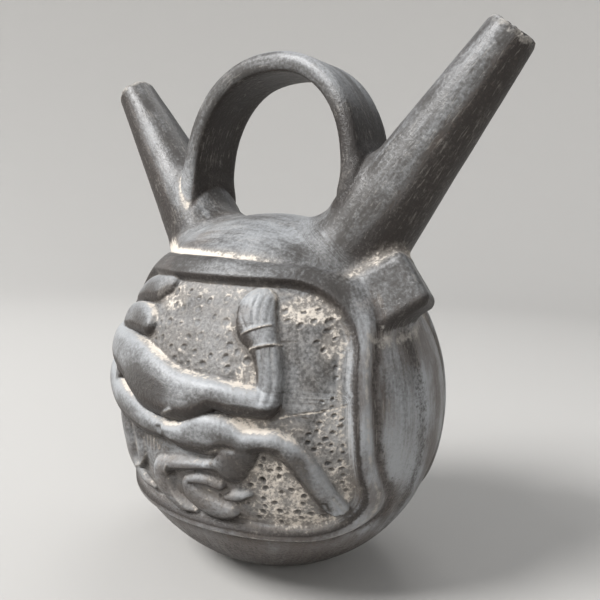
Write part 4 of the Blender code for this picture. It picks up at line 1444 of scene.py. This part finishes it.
def blackware(finish):
    """Burnished clay smoked grey-black, with brown patches, worn edges and pale earth in its recesses, and
    with painted shade, sheen and highlights in its colour.
    """
    recipe = Recipe("blackware")
    place = recipe.node("ShaderNodeTexCoord", output=3)
    strokes = recipe.attribute("strokes", 1)
    spaces = {True: strokes, False: place}
    noises = (recipe.noise(spaces[follows], *shape) for follows, *shape in PATTERNS.values())
    cloud, patch, speck, crumb, stroke, broad_stroke, fleck = noises

    scuff = recipe.attribute("scuff")
    streak = (broad_stroke - 0.5) * (0.7 + scuff * 1.4) + (stroke - 0.5) * (0.35 + scuff * 0.6)
    tone = 0.8 * recipe.attribute("bloom") + (cloud - 0.5) * 1.0 + (patch - 0.5) * 0.7
    tone = tone + streak + (speck - 0.5) * 0.8 + (crumb - 0.5) * 0.3
    tone_and_sheen_share = tone.between(-0.1, 0.95)
    brown_share = (recipe.attribute("brown") + (patch - 0.5) * 1.2 - streak * 0.5).between(0.2, 0.85)
    smoke = recipe.attribute("smoke") + (patch - 0.5) * 0.9 + (speck - 0.5) * 1.3
    soot_and_shade_share = (smoke + (crumb - 0.5) * 0.6 + (stroke - 0.5) * 0.4).between(0.2, 0.85)
    wear = recipe.attribute("wear") + (crumb - 0.5) * 1.5 + (patch - 0.5) * 0.6
    wear_and_highlight_share = wear.between(0.42, 0.8)
    flecks = (fleck + (patch - 0.5) * 0.5 + scuff * 0.06).between(0.62, 0.72)
    scrapes = (crumb + (broad_stroke - 0.5) * 0.4 + scuff * 0.05).between(0.66, 0.80)
    earth = recipe.attribute("earth")
    dust = earth * 1.2 + (patch - 0.5) * 0.9 + (speck - 0.5) * 0.9 + (crumb - 0.5) * 0.9
    dust_share = dust.between(0.0, 1.0)
    crust = earth + (crumb - 0.5) * 1.9 + (speck - 0.5) * 1.0 + (patch - 0.5) * 0.7
    earth_share = crust.between(0.55, 1.0)
    inside = recipe.attribute("inside")

    # Painted sheen, then soot with painted shade, and wear with a painted highlight, mixed into the clay's
    # colour
    clay = recipe.mix(tone_and_sheen_share, tuple(finish.clay), tuple(finish.sheen))
    clay = recipe.mix(brown_share * 0.8, clay, tuple(finish.brown))
    clay = recipe.mix(soot_and_shade_share * 0.92, clay, tuple(finish.smoke))
    clay = recipe.mix(flecks.most(scrapes) * (0.08 + scuff * 0.32), clay, tuple(finish.worn))
    clay = recipe.mix(wear_and_highlight_share * 0.8, clay, tuple(finish.worn))
    clay = recipe.mix(dust_share * 0.5, clay, tuple(finish.dust))
    clay = recipe.mix(earth_share * 0.85, clay, tuple(finish.earth))
    clay = recipe.mix(inside * 0.8, clay, tuple(finish.smoke))

    dull = (soot_and_shade_share * 0.10 + wear_and_highlight_share * 0.2).most(dust_share * 0.3)
    dull = dull.most(earth_share * 0.45).most(inside * 0.35)
    roughness = 0.42 + (stroke - 0.5) * 0.25 + (cloud - 0.5) * 0.2 + (patch - 0.5) * 0.2 + dull
    grit = stroke * 0.45 + crumb * (0.35 + dust_share * 1.3) + speck * (0.35 + soot_and_shade_share * 0.5)
    relief = {"Strength": 0.55, "Distance": 0.0005, "Height": grit}
    bump = recipe.node("ShaderNodeBump", inputs=relief, output="Normal")
    varied = {"Base Color": clay, "Roughness": roughness, "Normal": bump}
    return recipe.finish({**varied, "Specular IOR Level": 0.4})


def plain_floor(studio):
    matt = {"Roughness": 0.85, "Specular IOR Level": 0.2}
    return Recipe("plain_floor").finish({"Base Color": (*studio.floor, 1.0), **matt})


class BOTTLE_OT_make_vessel(bpy.types.Operator):
    """Models the whole vessel, with its walls, spouts, handle, lugs and relief, and gives it its finish"""

    bl_idname = "bottle.make_vessel"
    bl_label = "Make vessel"
    bl_options = {"REGISTER", "UNDO"}

    def execute(self, context):
        scene = context.scene
        form = Form(scene)
        mesh = skin(form, scene.bottle_fineness)
        sculpt(mesh, form, scene.bottle_fineness)
        mesh = thinned(hollowed(mesh, form), scene.bottle_fineness.most_triangles)
        mesh.materials.clear()
        mesh.materials.append(blackware(scene.bottle_finish))
        mark_surface(mesh, form)
        mesh.shade_smooth()
        mesh.set_sharp_from_angle(angle=math.radians(50))
        vessel = placed("vessel", mesh)
        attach(vessel, "root")
        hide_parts("bottle")
        return {"FINISHED"}


def add_light(name, place, aim, size, watts):
    light = bpy.data.lights.new(name, "AREA")
    light.shape = "DISK"
    light.size = size
    light.energy = watts
    turn = (aim - place).to_track_quat("-Z", "Y").to_matrix().to_4x4()
    placed(name, light).matrix_world = Matrix.Translation(place) @ turn


class BOTTLE_OT_make_stage(bpy.types.Operator):
    """Lays the plain floor, hangs the lights and stands the camera where the photograph was taken"""

    bl_idname = "bottle.make_stage"
    bl_label = "Make stage"
    bl_options = {"REGISTER", "UNDO"}

    def execute(self, context):
        studio = context.scene.bottle_studio
        self.lay_floor(studio)
        aim = Vector((studio.look_right, 0, studio.look_height))
        for name, (place, size) in LIGHTS.items():
            add_light(name, Vector(place), aim, size, getattr(studio, name))
        world = bpy.data.worlds.new("studio")
        world.use_nodes = True
        background = world.node_tree.nodes["Background"]
        background.inputs["Color"].default_value = SKY
        background.inputs["Strength"].default_value = studio.world
        context.scene.world = world
        context.scene.view_settings.view_transform = "Standard"
        context.scene.camera = self.camera(studio, aim)
        return {"FINISHED"}

    @staticmethod
    def lay_floor(studio):
        """A wide round floor that curves up into a low wall, spun from its profile."""
        rise, arc_steps = studio.floor_rise, 12
        profile = [(0, 0), (studio.floor_reach, 0)]
        for step in range(1, arc_steps + 1):
            turn = math.pi / 2 * step / arc_steps
            profile.append((studio.floor_reach + rise * math.sin(turn), rise * (1 - math.cos(turn))))
        floor = mesh_object("floor", spun(profile, 96))
        floor.data.shade_smooth()
        floor.data.materials.append(plain_floor(studio))

    @staticmethod
    def camera(studio, aim):
        """The camera, from its bearing on what it looks at and its roll about its line of sight."""
        back = Vector((
            math.sin(studio.azimuth) * math.cos(studio.elevation),
            -math.cos(studio.azimuth) * math.cos(studio.elevation),
            math.sin(studio.elevation),
        ))
        right = Vector((0, 0, 1)).cross(back).normalized()
        level = Matrix((right, back.cross(right), back)).transposed().to_4x4()
        data = bpy.data.cameras.new("camera")
        data.lens = studio.lens
        data.sensor_width = 36
        data.clip_start = 0.01
        made = placed("camera", data)
        roll = Matrix.Rotation(studio.roll, 4, "Z")
        made.matrix_world = Matrix.Translation(aim + back * studio.distance) @ level @ roll
        return made


class BOTTLE_PT_panel(bpy.types.Panel):
    bl_label = "Double-spout bottle"
    bl_idname = "BOTTLE_PT_panel"
    bl_space_type = "VIEW_3D"
    bl_region_type = "UI"
    bl_category = "Bottle"

    def draw(self, context):
        for operator in OPERATORS:
            self.layout.operator(operator.bl_idname)
        for name, (kind, label) in GROUPS.items():
            box = self.layout.box()
            box.label(text=label)
            for field in kind.__annotations__:
                box.prop(getattr(context.scene, name), field)


GROUPS = {
    "bottle_body": (BottleBody, "Body"),
    "bottle_spouts": (BottleSpouts, "Spouts"),
    "bottle_handle": (BottleHandle, "Strap handle"),
    "bottle_lugs": (BottleLugs, "Lugs"),
    "bottle_panels": (BottlePanels, "Relief panels"),
    "bottle_fineness": (BottleFineness, "Fineness"),
    "bottle_finish": (BottleFinish, "Finish"),
    "bottle_studio": (BottleStudio, "Studio"),
}
OPERATORS = (BOTTLE_OT_make_vessel, BOTTLE_OT_make_stage)


def register():
    for name, (kind, _) in GROUPS.items():
        bpy.utils.register_class(kind)
        setattr(bpy.types.Scene, name, PointerProperty(type=kind))
    for kind in (*OPERATORS, BOTTLE_PT_panel):
        bpy.utils.register_class(kind)


def unregister():
    for kind in (BOTTLE_PT_panel, *reversed(OPERATORS)):
        bpy.utils.unregister_class(kind)
    for name, (kind, _) in reversed(GROUPS.items()):
        delattr(bpy.types.Scene, name)
        bpy.utils.unregister_class(kind)


def main():
    register()
    bpy.ops.bottle.make_stage()
    bpy.ops.bottle.make_vessel()


if __name__ == "__main__":
    main()
